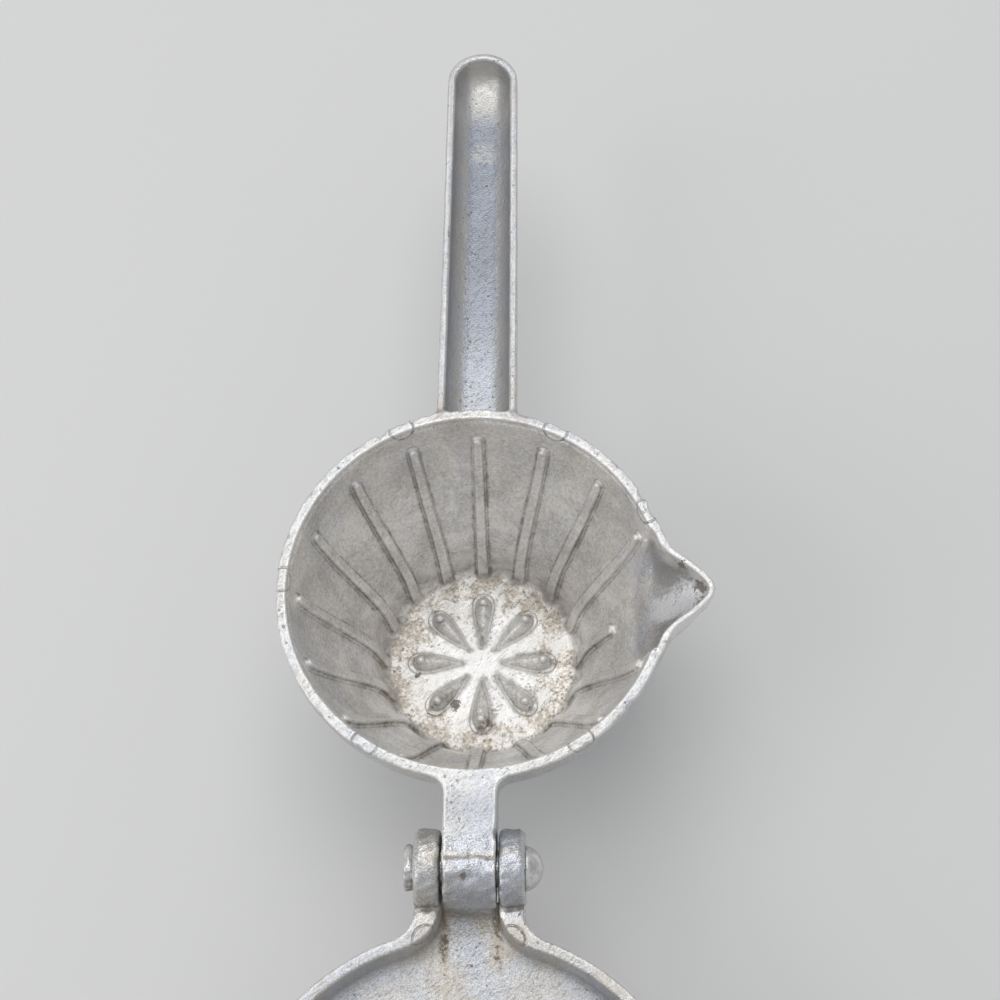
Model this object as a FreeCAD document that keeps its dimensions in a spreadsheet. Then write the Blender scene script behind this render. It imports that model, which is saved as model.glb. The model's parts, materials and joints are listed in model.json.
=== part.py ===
import FreeCAD, Part

import math
import os
import re

import Sketcher
from FreeCAD import Vector

# Hinged lemon squeezer, opened flat, in millimetres.
# Origin at the centre of the bowl's flat base, +Z up, +Y along the bowl's handle, +X to the spout.

SIZES = [
    ("rim_radius", 39.0),
    ("rim_band", 2.4),
    ("bowl_height", 49.0),
    ("base_round", 2.0),
    ("floor_thickness", 3.0),
    ("floor_radius", 21.6),
    ("lower_knee_inset", 9.7),
    ("lower_knee_depth", 28.0),
    ("upper_knee_inset", 6.0),
    ("upper_knee_depth", 20.5),
    ("lower_wall_curve", 55.0),
    ("upper_wall_curve", 71.0),
    ("wall", 2.6),
    ("rib_count", 16),
    ("rib_width", 2.2),
    ("rib_rise", 1.25),
    ("rib_top_depth", 7.4),
    ("rib_top_inset", 2.0),
    ("petal_count", 8),
    ("petal_start", 3.6),
    ("petal_end", 16.2),
    ("petal_width", 5.4),
    ("petal_crest_width", 2.6),
    ("petal_crest_length", 4.16),
    ("petal_height", 3.0),
    ("petal_root", 0.4),
    ("spout_length", 8.4),
    ("spout_tip_radius", 3.0),
    ("spout_root_half", 13.2),
    ("spout_neck_half", 8.0),
    ("spout_depth", 20.0),
    ("spout_root_inset", 2.9),
    ("spout_heel_half", 2.0),
    ("spout_channel_rise", 4.0),
    ("spout_lip", 1.3),
    ("handle_length", 92.3),
    ("handle_root_half", 8.3),
    ("handle_tip_half", 7.85),
    ("handle_depth", 10.0),
    ("handle_round", 5.0),
    ("handle_wall", 1.65),
    ("channel_depth", 7.2),
    ("channel_round", 4.5),
    ("channel_start", 0.2),
    ("handle_drop", 0.7),
    ("tongue_half", 5.0),
    ("hinge_offset", 15.0),
    ("hinge_drop", 7.3),
    ("knuckle_radius", 7.4),
    ("side_gap", 0.35),
    ("seat_gap", 0.3),
    ("ear_radius", 7.25),
    ("ear_width", 4.9),
    ("ear_round", 1.3),
    ("rivet_radius", 3.1),
    ("rivet_fit", 0.02),
    ("rivet_running_fit", 0.08),
    ("rivet_head_radius", 4.35),
    ("rivet_head_height", 3.5),
    ("rivet_peen_radius", 4.1),
    ("rivet_peen_height", 2.2),
    ("rim_gap", 1.3),
    ("skirt_band", 2.2),
    ("skirt_draft", 0.7),
    ("pan_thickness", 3.0),
    ("pan_round", 1.6),
    ("neck_overlap", 2.8),
    ("notch_gap", 2.0),
    ("dome_radius", 26.5),
    ("dome_shoulder", 22.5),
    ("dome_shoulder_height", 18.0),
    ("dome_height", 36.0),
    ("dome_wall", 2.6),
    ("dome_clearance", 1.0),
    ("presser_handle_length", 91.0),
    ("presser_handle_drop", 0.6),
    ("presser_channel_start", 2.0),
    ("presser_root_length", 14.0),
    ("over_cut", 1.0),
]

doc = FreeCAD.newDocument("lemon_squeezer")
sheet = doc.addObject("Spreadsheet::Sheet", "Sizes")
for row, (alias, value) in enumerate(SIZES, start=1):
    sheet.set(f"A{row}", alias.replace("_", " "))
    sheet.set(f"B{row}", str(value))
    sheet.setAlias(f"B{row}", alias)
doc.recompute()

ALIASES = {alias for alias, value in SIZES}

# Sizes and places that follow from the driving ones. Heights in the presser are measured from the
# hinge axis. The presser's handle slopes so that its tip rests on the table under the bowl. What
# joins the bowl starts at the hidden root, inside it, before the bowl's cavity is cut.
DERIVED = {
    "mouth_radius": "rim_radius - rim_band",
    "hidden_root": "rim_radius / 2",
    "upper_knee_radius": "mouth_radius - upper_knee_inset",
    "lower_knee_radius": "mouth_radius - lower_knee_inset",
    "upper_knee_height": "bowl_height - upper_knee_depth",
    "lower_knee_height": "bowl_height - lower_knee_depth",
    "base_radius": "floor_radius + wall",
    "spout_reach": "rim_radius + spout_length",
    "handle_reach": "rim_radius + handle_length",
    "hinge_reach": "rim_radius + hinge_offset",
    "hinge_height": "bowl_height - hinge_drop",
    "ear_inner": "tongue_half + side_gap",
    "ear_outer": "ear_inner + ear_width",
    "skirt_foot": "rim_radius + rim_gap",
    "skirt_inner": "skirt_foot + skirt_draft",
    "skirt_radius": "skirt_inner + skirt_band",
    "pan_top": "-hinge_drop - seat_gap",
    "pan_bottom": "pan_top - pan_thickness",
    "arm_root": "rim_radius - rim_gap",
    "arm_heel": "skirt_radius - skirt_draft",
    "arm_rise": "(-ear_radius - pan_bottom) / (hinge_reach - arm_heel)",
    "neck_end": "hinge_reach - knuckle_radius + neck_overlap",
    "neck_tip": "pan_bottom + (neck_end - arm_heel) * arm_rise",
    "dome_nose": "dome_height - dome_shoulder_height",
    "dome_curve": "(dome_shoulder ^ 2 + dome_nose ^ 2) / (2 * dome_nose)",
    "dome_shoulder_z": "pan_top + dome_shoulder_height",
    "dome_top": "pan_top + dome_height",
    "hollow_shoulder": "dome_shoulder - dome_wall",
    "hollow_curve": "(hollow_shoulder ^ 2 + dome_nose ^ 2) / (2 * dome_nose)",
    "slope_run": "presser_handle_length - handle_round",
    "slope_corner": "handle_depth - handle_round",
    "slope_fall": "hinge_height + pan_top - presser_handle_drop - handle_round",
    "slope_reach": "sqrt(slope_run ^ 2 + slope_corner ^ 2)",
    "slope": "asin(slope_fall / slope_reach) - atan(slope_corner / slope_run)",
    "head_curve": "(rivet_head_radius ^ 2 + rivet_head_height ^ 2) / (2 * rivet_head_height)",
}


def sized(formula):
    """A formula in size names, with each driving size pointed at its cell in the sheet."""

    def expand(word):
        name = word[0]
        if name in DERIVED:
            return f"({sized(DERIVED[name])})"
        return f"Sizes.{name}" if name in ALIASES else name

    return re.sub(r"[a-z_]+", expand, formula)


def value_of(formula):
    return float(sheet.evalExpression(sized(formula)))


def new_body(name):
    body = doc.addObject("PartDesign::Body", name)
    body.Label = name
    return body


def arc_between(start, end, radius, side):
    """The shorter arc from start to end, which swells to the left of the way there if side is 1."""
    chord = end - start
    half = chord.Length / 2
    left = Vector(-chord.y, chord.x, 0).normalize()
    centre = start + chord * 0.5 - left * (side * math.sqrt(max(radius ** 2 - half ** 2, 0)))
    first, last = (end, start) if side > 0 else (start, end)
    first_angle = math.atan2(first.y - centre.y, first.x - centre.x)
    last_angle = math.atan2(last.y - centre.y, last.x - centre.x)
    circle = Part.Circle(centre, Vector(0, 0, 1), radius)
    return Part.ArcOfCircle(circle, first_angle, last_angle)


def outline(body, name, plane, points, arcs=(), offset=(), tilt=None):
    """A closed sketch through points, each a pair of formulas, with some sides as arcs.

    arcs maps a side's index to its radius and side; offset gives formulas for the sketch's own
    x, y and z; tilt turns the sketch about its X axis.
    """
    sketch = body.newObject("Sketcher::SketchObject", name)
    origin_plane = next(item for item in body.Origin.OriginFeatures if item.Role == plane)
    sketch.AttachmentSupport = [(origin_plane, "")]
    sketch.MapMode = "FlatFace"
    for axis, formula in offset:
        sketch.setExpression(f".AttachmentOffset.Base.{axis}", sized(formula))
    if tilt:
        sketch.AttachmentOffset = FreeCAD.Placement(Vector(), FreeCAD.Rotation(Vector(1, 0, 0), 1))
        sketch.setExpression(".AttachmentOffset.Rotation.Angle", sized(tilt))
    arcs = dict(arcs)
    corners = [Vector(value_of(x), value_of(y), 0) for x, y in points]
    starts, ends = [], []
    for index, start in enumerate(corners):
        end = corners[(index + 1) % len(corners)]
        if index in arcs:
            radius, side = arcs[index]
            sketch.addGeometry(arc_between(start, end, value_of(radius), side), False)
        else:
            side = -1
            sketch.addGeometry(Part.LineSegment(start, end), False)
        starts.append(1 if side < 0 else 2)
        ends.append(2 if side < 0 else 1)
    for index, (x, y) in enumerate(points):
        following = (index + 1) % len(points)
        sketch.addConstraint(
            Sketcher.Constraint("Coincident", index, ends[index], following, starts[following])
        )
        corner = corners[index]
        for kind, formula, place in (("DistanceX", x, corner.x), ("DistanceY", y, corner.y)):
            number = sketch.addConstraint(
                Sketcher.Constraint(kind, -1, 1, index, starts[index], place)
            )
            sketch.setExpression(f"Constraints[{number}]", sized(formula))
    for index, (radius, side) in arcs.items():
        number = sketch.addConstraint(Sketcher.Constraint("Radius", index, value_of(radius)))
        sketch.setExpression(f"Constraints[{number}]", sized(radius))
    doc.recompute()
    return sketch


def circle_sketch(body, name, plane, y, z, radius, offset=()):
    """A circle, its centre at the sketch's y and z formulas."""
    sketch = body.newObject("Sketcher::SketchObject", name)
    origin_plane = next(item for item in body.Origin.OriginFeatures if item.Role == plane)
    sketch.AttachmentSupport = [(origin_plane, "")]
    sketch.MapMode = "FlatFace"
    for axis, formula in offset:
        sketch.setExpression(f".AttachmentOffset.Base.{axis}", sized(formula))
    centre = Vector(value_of(y), value_of(z), 0)
    sketch.addGeometry(Part.Circle(centre, Vector(0, 0, 1), value_of(radius)), False)
    for kind, formula, place in (("DistanceX", y, centre.x), ("DistanceY", z, centre.y)):
        number = sketch.addConstraint(Sketcher.Constraint(kind, -1, 1, 0, 3, place))
        sketch.setExpression(f"Constraints[{number}]", sized(formula))
    number = sketch.addConstraint(Sketcher.Constraint("Radius", 0, value_of(radius)))
    sketch.setExpression(f"Constraints[{number}]", sized(radius))
    doc.recompute()
    return sketch


def feature(body, kind, name, sketch):
    made = body.newObject("PartDesign::" + kind, name)
    made.Profile = sketch
    return made


def checked(body, made, grows):
    """Recompute, and make sure that the feature really added or removed material."""
    doc.recompute()
    before = made.BaseFeature.Shape.Volume if made.BaseFeature else 0
    change = made.Shape.Volume - before
    if (change > 0) != grows or abs(change) < 0.5:
        raise RuntimeError(f"{body.Label} {made.Name} changed the volume by {change:.2f}")
    return made


def turned(body, name, sketch, axis="V_Axis", cut=False):
    made = feature(body, "Groove" if cut else "Revolution", name, sketch)
    made.ReferenceAxis = (sketch, [axis])
    made.Angle = 360
    return checked(body, made, not cut)


def padded(body, name, sketch, length, centred=False, cut=False):
    made = feature(body, "Pocket" if cut else "Pad", name, sketch)
    made.setExpression("Length", sized(length))
    if centred:
        made.SideType = "Symmetric"
    if cut:
        made.Reversed = True
    return checked(body, made, not cut)


def lofted(body, name, sections, cut=False):
    made = feature(body, "SubtractiveLoft" if cut else "AdditiveLoft", name, sections[0])
    made.Sections = sections[1:]
    made.Ruled = True
    return checked(body, made, not cut)


def patterned(body, name, original, count):
    made = body.newObject("PartDesign::PolarPattern", name)
    made.Originals = [original]
    upright = next(item for item in body.Origin.OriginFeatures if item.Role == "Z_Axis")
    made.Axis = (upright, [""])
    made.Angle = 360
    made.setExpression("Occurrences", sized(count))
    body.Tip = made
    doc.recompute()
    return made


def at_height(body_height):
    """Offset of a sketch on the level plane."""
    return [("z", body_height)]


def across_handle(along, height):
    """Offset of a sketch on the XZ plane, whose own z points along -Y."""
    return [("z", f"-({along})"), ("y", height)]


def handle_section(body, name, half, depth, corner, offset, tilt=None):
    """The handle's outer section: straight sides, a flat bottom and round corners."""
    low = f"{corner} - {depth}"
    inner = f"{half} - {corner}"
    points = [
        (f"-({half})", "0"),
        (f"-({half})", low),
        (f"-({inner})", f"-({depth})"),
        (inner, f"-({depth})"),
        (half, low),
        (half, "0"),
    ]
    arcs = {1: (corner, -1), 3: (corner, -1)}
    return outline(body, name, "XZ_Plane", points, arcs, offset, tilt)


def handle_end(body, name, half, depth, corner, offset, tilt=None):
    """Half of the handle's section, to be turned into its round end."""
    points = [
        ("0", "0"),
        ("0", f"-({depth})"),
        (f"{half} - {corner}", f"-({depth})"),
        (half, f"{corner} - {depth}"),
        (half, "0"),
    ]
    return outline(body, name, "XZ_Plane", points, {2: (corner, -1)}, offset, tilt)


def channel_handle(body, name, place, stations, tilt=None):
    """Add a handle of U section, and return the call that cuts its channel.

    place turns a distance along the handle into a sketch offset; stations are the distances of
    the hidden root, of the channel's start and of the round end's centre.
    """
    root, start, end = stations
    outside = ("handle_depth", "handle_round")
    inside = ("channel_depth", "channel_round")
    outer = [
        handle_section(body, f"{name}_{word}", half, *outside, place(along), tilt)
        for word, half, along in (
            ("root", "handle_root_half", root),
            ("tip", "handle_tip_half", end),
        )
    ]
    lofted(body, name, outer)
    cap = handle_end(body, f"{name}_cap", "handle_tip_half", *outside, place(end), tilt)
    turned(body, f"{name}_round", cap)

    def cut_channel():
        root_half = "handle_root_half - handle_wall"
        tip_half = "handle_tip_half - handle_wall"
        hollow = [
            handle_section(body, f"{name}_channel_{word}", half, *inside, place(along), tilt)
            for word, half, along in (("root", root_half, start), ("tip", tip_half, end))
        ]
        lofted(body, f"{name}_channel", hollow, cut=True)
        scoop = handle_end(body, f"{name}_scoop", tip_half, *inside, place(end), tilt)
        turned(body, f"{name}_channel_end", scoop, cut=True)

    return cut_channel


# Bowl casting: bowl, spout, handle and hinge tongue


def bowl_outside(body):
    points = [
        ("0", "0"),
        ("base_radius - base_round", "0"),
        ("base_radius", "base_round"),
        ("lower_knee_radius + wall", "lower_knee_height"),
        ("upper_knee_radius + wall", "upper_knee_height"),
        ("rim_radius", "bowl_height"),
        ("0", "bowl_height"),
    ]
    arcs = {
        1: ("base_round", -1),
        2: ("lower_wall_curve", 1),
        4: ("upper_wall_curve", -1),
    }
    turned(body, "bowl_outside", outline(body, "bowl_profile", "XZ_Plane", points, arcs))


def spout_outline(body, name, height, reach, tip, neck_at, neck_half, root_at, root_half):
    """The spout seen from above: wide at its root in the bowl, a narrower neck and a round tip."""
    points = [
        ("hidden_root", f"-({root_half})"),
        (root_at, f"-({root_half})"),
        (neck_at, f"-({neck_half})"),
        (f"{reach} - ({tip})", f"-({tip})"),
        (reach, "0"),
        (f"{reach} - ({tip})", tip),
        (neck_at, neck_half),
        (root_at, root_half),
        ("hidden_root", root_half),
    ]
    arcs = {3: (tip, -1), 4: (tip, -1)}
    return outline(body, name, "XY_Plane", points, arcs, at_height(height))


def spout_sections(body, name, lip, depth):
    """The spout's outline at the rim and at its heel on the bowl's wall, set in by the lip.

    The heel is set in by less than the lip, because the spout is narrow there.
    """
    heel_lip = f"0.8 * {lip}"
    top = spout_outline(
        body,
        name + "_top",
        "bowl_height",
        f"spout_reach - {lip}",
        f"spout_tip_radius - {lip}",
        f"rim_radius - {lip}",
        f"spout_neck_half - {lip}",
        f"rim_radius - spout_root_inset - {lip} / 2",
        f"spout_root_half - 2 * {lip}",
    )
    heel = spout_outline(
        body,
        name + "_heel",
        f"bowl_height - {depth}",
        f"upper_knee_radius - {heel_lip}",
        f"spout_heel_half / 2 - {heel_lip} / 2",
        f"upper_knee_radius - spout_heel_half - {heel_lip}",
        f"spout_heel_half - {heel_lip} / 2",
        f"upper_knee_radius - 2 * spout_heel_half - {heel_lip}",
        f"spout_heel_half - {heel_lip} / 2",
    )
    return [top, heel]


def spout_outside(body):
    lofted(body, "spout", spout_sections(body, "spout", "0", "spout_depth"))


def spout_channel(body):
    depth = "(spout_depth - spout_channel_rise)"
    lofted(body, "spout_channel", spout_sections(body, "spout_channel", "spout_lip", depth), cut=True)


def hinge_circle(body, name, radius):
    return circle_sketch(body, name, "YZ_Plane", "-hinge_reach", "hinge_height", radius)


def tongue(body):
    """A flat-topped arm out from the bowl, ending in the round knuckle of the hinge."""
    points = [
        ("-hinge_reach", "hinge_height - knuckle_radius"),
        ("-hidden_root", "hinge_height - knuckle_radius"),
        ("-hidden_root", "bowl_height"),
        ("-hinge_reach", "bowl_height"),
    ]
    web = outline(body, "tongue_side", "YZ_Plane", points)
    padded(body, "tongue", web, "2 * tongue_half", centred=True)
    ring = hinge_circle(body, "knuckle_side", "knuckle_radius")
    padded(body, "knuckle", ring, "2 * tongue_half", centred=True)


def bowl_cavity(body):
    points = [
        ("0", "floor_thickness"),
        ("floor_radius", "floor_thickness"),
        ("lower_knee_radius", "lower_knee_height"),
        ("upper_knee_radius", "upper_knee_height"),
        ("mouth_radius", "bowl_height"),
        ("0", "bowl_height"),
    ]
    arcs = {1: ("lower_wall_curve", 1), 3: ("upper_wall_curve", -1)}
    turned(body, "bowl_cavity", outline(body, "cavity_profile", "XZ_Plane", points, arcs), cut=True)


def ribs(body):
    """Upright ribs on the bowl's wall, from the floor to just under the rim."""
    inside_wall = "wall / 3"
    points = [
        (f"floor_radius + {inside_wall}", "floor_thickness / 2"),
        ("floor_radius - rib_rise", "floor_thickness / 2"),
        ("floor_radius - rib_rise", "floor_thickness"),
        ("lower_knee_radius - rib_rise", "lower_knee_height"),
        ("upper_knee_radius - rib_rise", "upper_knee_height"),
        ("mouth_radius - rib_top_inset", "bowl_height - rib_top_depth"),
        ("mouth_radius - rib_rise / 2", "bowl_height - rib_top_depth + rib_rise"),
        (f"upper_knee_radius + {inside_wall}", "upper_knee_height"),
        (f"lower_knee_radius + {inside_wall}", "lower_knee_height"),
    ]
    arcs = {2: ("lower_wall_curve", 1)}
    side = outline(body, "rib_side", "YZ_Plane", points, arcs)
    rib = padded(body, "rib", side, "rib_width", centred=True)
    patterned(body, "rib_ring", rib, "rib_count")


def petal_outline(body, name, start, end, width, height):
    half = f"{width} / 2"
    points = [
        (start, "0"),
        (f"{end} - {half}", f"-({half})"),
        (end, "0"),
        (f"{end} - {half}", half),
    ]
    arcs = {1: (half, -1), 2: (half, -1)}
    return outline(body, name, "XY_Plane", points, arcs, at_height(height))


def petals(body):
    """Raised teardrops on the floor, sharp and low inwards, blunt and high outwards."""
    low, high = "floor_thickness - petal_root", "floor_thickness + petal_height"
    crest_end = "petal_end - (petal_width - petal_crest_width) / 2"
    crest_start = f"{crest_end} - petal_crest_length"
    foot = petal_outline(body, "petal_foot", "petal_start", "petal_end", "petal_width", low)
    crest = petal_outline(body, "petal_crest", crest_start, crest_end, "petal_crest_width", high)
    petal = lofted(body, "petal", [foot, crest])
    patterned(body, "petal_ring", petal, "petal_count")


def knuckle_bore(body):
    ring = hinge_circle(body, "knuckle_bore_side", "rivet_radius + rivet_running_fit")
    padded(body, "knuckle_bore", ring, "2 * (tongue_half + over_cut)", centred=True, cut=True)


def make_bowl():
    body = new_body("bowl_casting")
    bowl_outside(body)
    spout_outside(body)
    tongue(body)
    cut_channel = channel_handle(
        body,
        "handle",
        lambda along: across_handle(along, "bowl_height - handle_drop"),
        ("hidden_root", "rim_radius + channel_start", "handle_reach - handle_tip_half"),
    )
    bowl_cavity(body)
    ribs(body)
    petals(body)
    spout_channel(body)
    cut_channel()
    knuckle_bore(body)
    return body


# Presser casting: pan, skirt, pressing dome, ears and handle, with its own origin at the pan's
# centre on the level of the hinge axis


def pan_and_dome(body):
    points = [
        ("0", "dome_top - dome_wall"),
        ("hollow_shoulder", "dome_shoulder_z - dome_wall"),
        ("dome_radius - dome_wall", "pan_bottom"),
        ("skirt_radius - pan_round", "pan_bottom"),
        ("skirt_radius", "pan_bottom + pan_round"),
        ("skirt_radius", "0"),
        ("skirt_inner", "0"),
        ("skirt_foot", "pan_top"),
        ("dome_radius", "pan_top"),
        ("dome_shoulder", "dome_shoulder_z"),
        ("0", "dome_top"),
    ]
    arcs = {0: ("hollow_curve", 1), 3: ("pan_round", -1), 9: ("dome_curve", -1)}
    turned(body, "pan_and_dome", outline(body, "pan_profile", "XZ_Plane", points, arcs))


def notch(body, name, passing, along_x):
    """A break in the skirt, down to the pan, to let the spout or the bowl's handle through."""
    near, far = "rim_radius - notch_gap", "skirt_radius + notch_gap"
    half = f"{passing} + notch_gap"
    corners = [(near, f"-({half})"), (far, f"-({half})"), (far, half), (near, half)]
    points = corners if along_x else [(f"-({b})", f"-({a})") for a, b in corners]
    plan = outline(body, name + "_plan", "XY_Plane", points, (), at_height("pan_top"))
    padded(body, name, plan, "hinge_drop + seat_gap + over_cut", cut=True)


def arm(body, side):
    """One ear with the arm that joins it to the pan."""
    word = "right" if side > 0 else "left"
    sign = "" if side > 0 else "-"
    profile = [
        ("ear_inner", "0"),
        ("ear_outer", "0"),
        ("ear_outer", "ear_radius - ear_round"),
        ("ear_outer - ear_round", "ear_radius"),
        ("ear_inner + ear_round / 3", "ear_radius"),
        ("ear_inner", "ear_radius - ear_round / 3"),
    ]
    points = [(f"{sign}({x})", y) for x, y in profile]
    turn = -side
    arcs = {2: ("ear_round", turn), 4: ("ear_round / 3", turn)}
    disc = outline(body, f"ear_{word}_profile", "XY_Plane", points, arcs, [("y", "hinge_reach")])
    turned(body, f"ear_{word}", disc, axis="H_Axis")
    side_view = [
        ("hinge_reach", "-ear_radius"),
        ("hinge_reach", "-rivet_radius"),
        ("hinge_reach - rivet_radius", "0"),
        ("arm_root", "0"),
        ("arm_root", "pan_bottom"),
        ("arm_heel", "pan_bottom"),
    ]
    near_face = "ear_inner" if side > 0 else "-ear_outer"
    flank = outline(body, f"arm_{word}_side", "YZ_Plane", side_view, (), [("z", near_face)])
    padded(body, f"arm_{word}", flank, "ear_width")


def neck(body):
    """The pan's floor runs out between the arms to just under the knuckle."""
    points = [
        ("arm_root", "pan_bottom"),
        ("arm_heel", "pan_bottom"),
        ("neck_end", "neck_tip"),
        ("neck_end", "pan_top"),
        ("arm_root", "pan_top"),
    ]
    side_view = outline(body, "neck_side", "YZ_Plane", points)
    padded(body, "neck", side_view, "2 * ear_outer", centred=True)


def neck_gap(body):
    """The way between the arms, which drops over the tongue as the squeezer closes."""
    points = [
        ("-ear_inner", "dome_radius + dome_clearance"),
        ("ear_inner", "dome_radius + dome_clearance"),
        ("ear_inner", "hinge_reach"),
        ("-ear_inner", "hinge_reach"),
    ]
    plan = outline(body, "neck_gap_plan", "XY_Plane", points, (), at_height("pan_top"))
    padded(body, "neck_gap", plan, "hinge_drop + seat_gap", cut=True)


def rim_relief(body):
    """Clears the arms' roots from the bowl's rim when the squeezer is shut."""
    points = [
        ("dome_radius + dome_clearance", "pan_top"),
        ("skirt_foot", "pan_top"),
        ("skirt_inner", "0"),
        ("dome_radius + dome_clearance", "0"),
    ]
    turned(body, "rim_relief", outline(body, "rim_relief_profile", "XZ_Plane", points), cut=True)


def ear_bore(body):
    radius = "rivet_radius + rivet_fit"
    ring = circle_sketch(body, "ear_bore_side", "YZ_Plane", "hinge_reach", "0", radius)
    padded(body, "ear_bore", ring, "2 * (ear_outer + over_cut)", centred=True, cut=True)


def presser_handle_place(along):
    """A sketch square to the sloping handle, at a distance along it from the skirt."""
    y = f"-(skirt_radius + ({along}) * cos(slope))"
    z = f"pan_top - presser_handle_drop - ({along}) * sin(slope)"
    return across_handle(y, z)


def presser_handle(body):
    stations = ("0", "presser_channel_start", "presser_handle_length - handle_tip_half")
    return channel_handle(body, "grip", presser_handle_place, stations, "slope")


def presser_root(body):
    """The handle's root runs out under the pan as a wedge."""
    stations = (
        ("inner", "pan_thickness", "pan_round", "-presser_root_length"),
        ("outer", "handle_depth", "handle_round", "0"),
    )
    sections = []
    for word, depth, corner, along in stations:
        offset = presser_handle_place(along)
        sections.append(
            handle_section(body, f"root_{word}", "handle_root_half", depth, corner, offset, "slope")
        )
    lofted(body, "handle_root", sections)


def make_presser():
    body = new_body("presser_casting")
    body.setExpression("Placement.Base.y", sized("-2 * hinge_reach"))
    body.setExpression("Placement.Base.z", sized("hinge_height"))
    pan_and_dome(body)
    arm(body, 1)
    arm(body, -1)
    neck(body)
    cut_channel = presser_handle(body)
    presser_root(body)
    rim_relief(body)
    neck_gap(body)
    notch(body, "spout_notch", "spout_neck_half", True)
    notch(body, "handle_notch", "handle_root_half", False)
    cut_channel()
    ear_bore(body)
    return body


# Hinge rivet: shank, domed head on the spout side and hammered end on the other


def make_rivet():
    body = new_body("hinge_rivet")
    body.setExpression("Placement.Base.y", sized("-hinge_reach"))
    body.setExpression("Placement.Base.z", sized("hinge_height"))
    points = [
        ("-(ear_outer + rivet_peen_height)", "0"),
        ("ear_outer + rivet_head_height", "0"),
        ("ear_outer", "rivet_head_radius"),
        ("ear_outer", "rivet_radius"),
        ("-ear_outer", "rivet_radius"),
        ("-ear_outer", "rivet_peen_radius"),
        ("-(ear_outer + rivet_peen_height / 2)", "rivet_peen_radius"),
        ("-(ear_outer + rivet_peen_height)", "rivet_radius"),
    ]
    profile = outline(body, "rivet_profile", "XY_Plane", points, {1: ("head_curve", -1)})
    turned(body, "rivet", profile, axis="H_Axis")
    return body


bodies = [make_bowl(), make_presser(), make_rivet()]
doc.recompute()

for item in doc.Objects:
    if "Invalid" in item.State or "Error" in item.State:
        raise RuntimeError(f"{item.Label} failed")
for body in bodies:
    if body.Shape.isNull() or not body.Shape.isValid() or len(body.Shape.Solids) != 1:
        raise RuntimeError(f"{body.Label} has no sound single solid")

os.makedirs("parts", exist_ok=True)
for body in bodies:
    body.Shape.exportStep(f"parts/{body.Label}.step")
    box = body.Shape.BoundBox
    print(body.Label, f"{body.Shape.Volume:.0f}", f"{box.XMin:.2f} {box.YMin:.2f} {box.ZMin:.2f}")
    print(" " * len(body.Label), f"{box.XMax:.2f} {box.YMax:.2f} {box.ZMax:.2f}")
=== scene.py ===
import json
import math
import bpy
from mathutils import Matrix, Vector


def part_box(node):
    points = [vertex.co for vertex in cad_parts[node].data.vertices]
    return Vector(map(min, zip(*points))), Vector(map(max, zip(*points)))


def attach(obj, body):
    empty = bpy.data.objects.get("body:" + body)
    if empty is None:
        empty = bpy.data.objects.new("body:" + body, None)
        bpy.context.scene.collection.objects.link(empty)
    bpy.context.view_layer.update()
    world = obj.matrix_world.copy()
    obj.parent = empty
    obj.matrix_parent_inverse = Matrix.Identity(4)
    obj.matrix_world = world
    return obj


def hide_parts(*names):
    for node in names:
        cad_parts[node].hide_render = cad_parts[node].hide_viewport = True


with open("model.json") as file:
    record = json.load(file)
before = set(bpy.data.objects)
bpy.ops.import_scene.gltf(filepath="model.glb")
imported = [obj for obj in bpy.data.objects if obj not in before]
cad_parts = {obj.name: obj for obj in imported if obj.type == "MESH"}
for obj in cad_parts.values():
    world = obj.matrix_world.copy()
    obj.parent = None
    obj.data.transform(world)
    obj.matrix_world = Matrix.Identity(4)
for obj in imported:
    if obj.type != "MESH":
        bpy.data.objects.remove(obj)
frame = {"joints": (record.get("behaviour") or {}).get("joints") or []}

from types import SimpleNamespace

import bpy
import numpy as np
from bpy.props import FloatProperty, FloatVectorProperty, IntProperty, PointerProperty
from mathutils import Matrix, Vector

bl_info = {
    "name": "Hinged lemon squeezer",
    "version": (1, 0, 0),
    "blender": (4, 5, 0),
    "location": "View3D > Sidebar > Squeezer",
    "description": "Die-cast hinged lemon squeezer: bowl, presser and rivet, with a plain stage",
    "category": "Add Mesh",
}

MM = 1000.0
HINGE = next(joint for joint in frame["joints"] if joint["name"] == "hinge")
BOWL_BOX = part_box("bowl_casting")
PRESSER_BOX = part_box("presser_casting")


# Sizes and colours


def length(name, text, millimetres):
    return FloatProperty(name=name, description=text, default=millimetres / MM, unit="LENGTH", precision=5)


def colour(name, text, value):
    limits = {"size": 3, "min": 0, "max": 1}
    return FloatVectorProperty(name=name, description=text, default=value, subtype="COLOR", **limits)


class BowlSizes(bpy.types.PropertyGroup):
    rim_radius: length("Rim radius", "Outer radius of the bowl's rim", 39.0)
    rim_band: length("Rim band", "Width of the rim's flat top", 2.4)
    height: length("Height", "Height of the rim over the table", 49.0)
    floor: length("Floor", "Thickness of the bowl's floor", 3.0)
    wall: length("Wall", "Thickness of the bowl's wall, measured level", 2.6)
    spout_reach: length("Spout reach", "From the bowl's centre to the spout's tip", 47.4)
    spout_lip: length("Spout lip", "Thickness of the spout's lips", 1.25)
    tongue_half: length("Tongue half width", "Half the width of the hinge tongue", 5.0)
    knuckle: length("Knuckle radius", "Radius of the tongue's round end", 7.4)
    rib_count: IntProperty(name="Ribs", description="Ribs round the bowl's wall", default=16, min=3)
    rib_width: length("Rib width", "Width of a rib at its foot", 2.5)
    rib_rise: length("Rib rise", "How far a rib stands off the wall", 1.3)
    petal_count: IntProperty(name="Petals", description="Raised petals on the floor", default=8, min=3)
    petal_height: length("Petal height", "Height of a petal's blunt end", 2.8)


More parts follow.
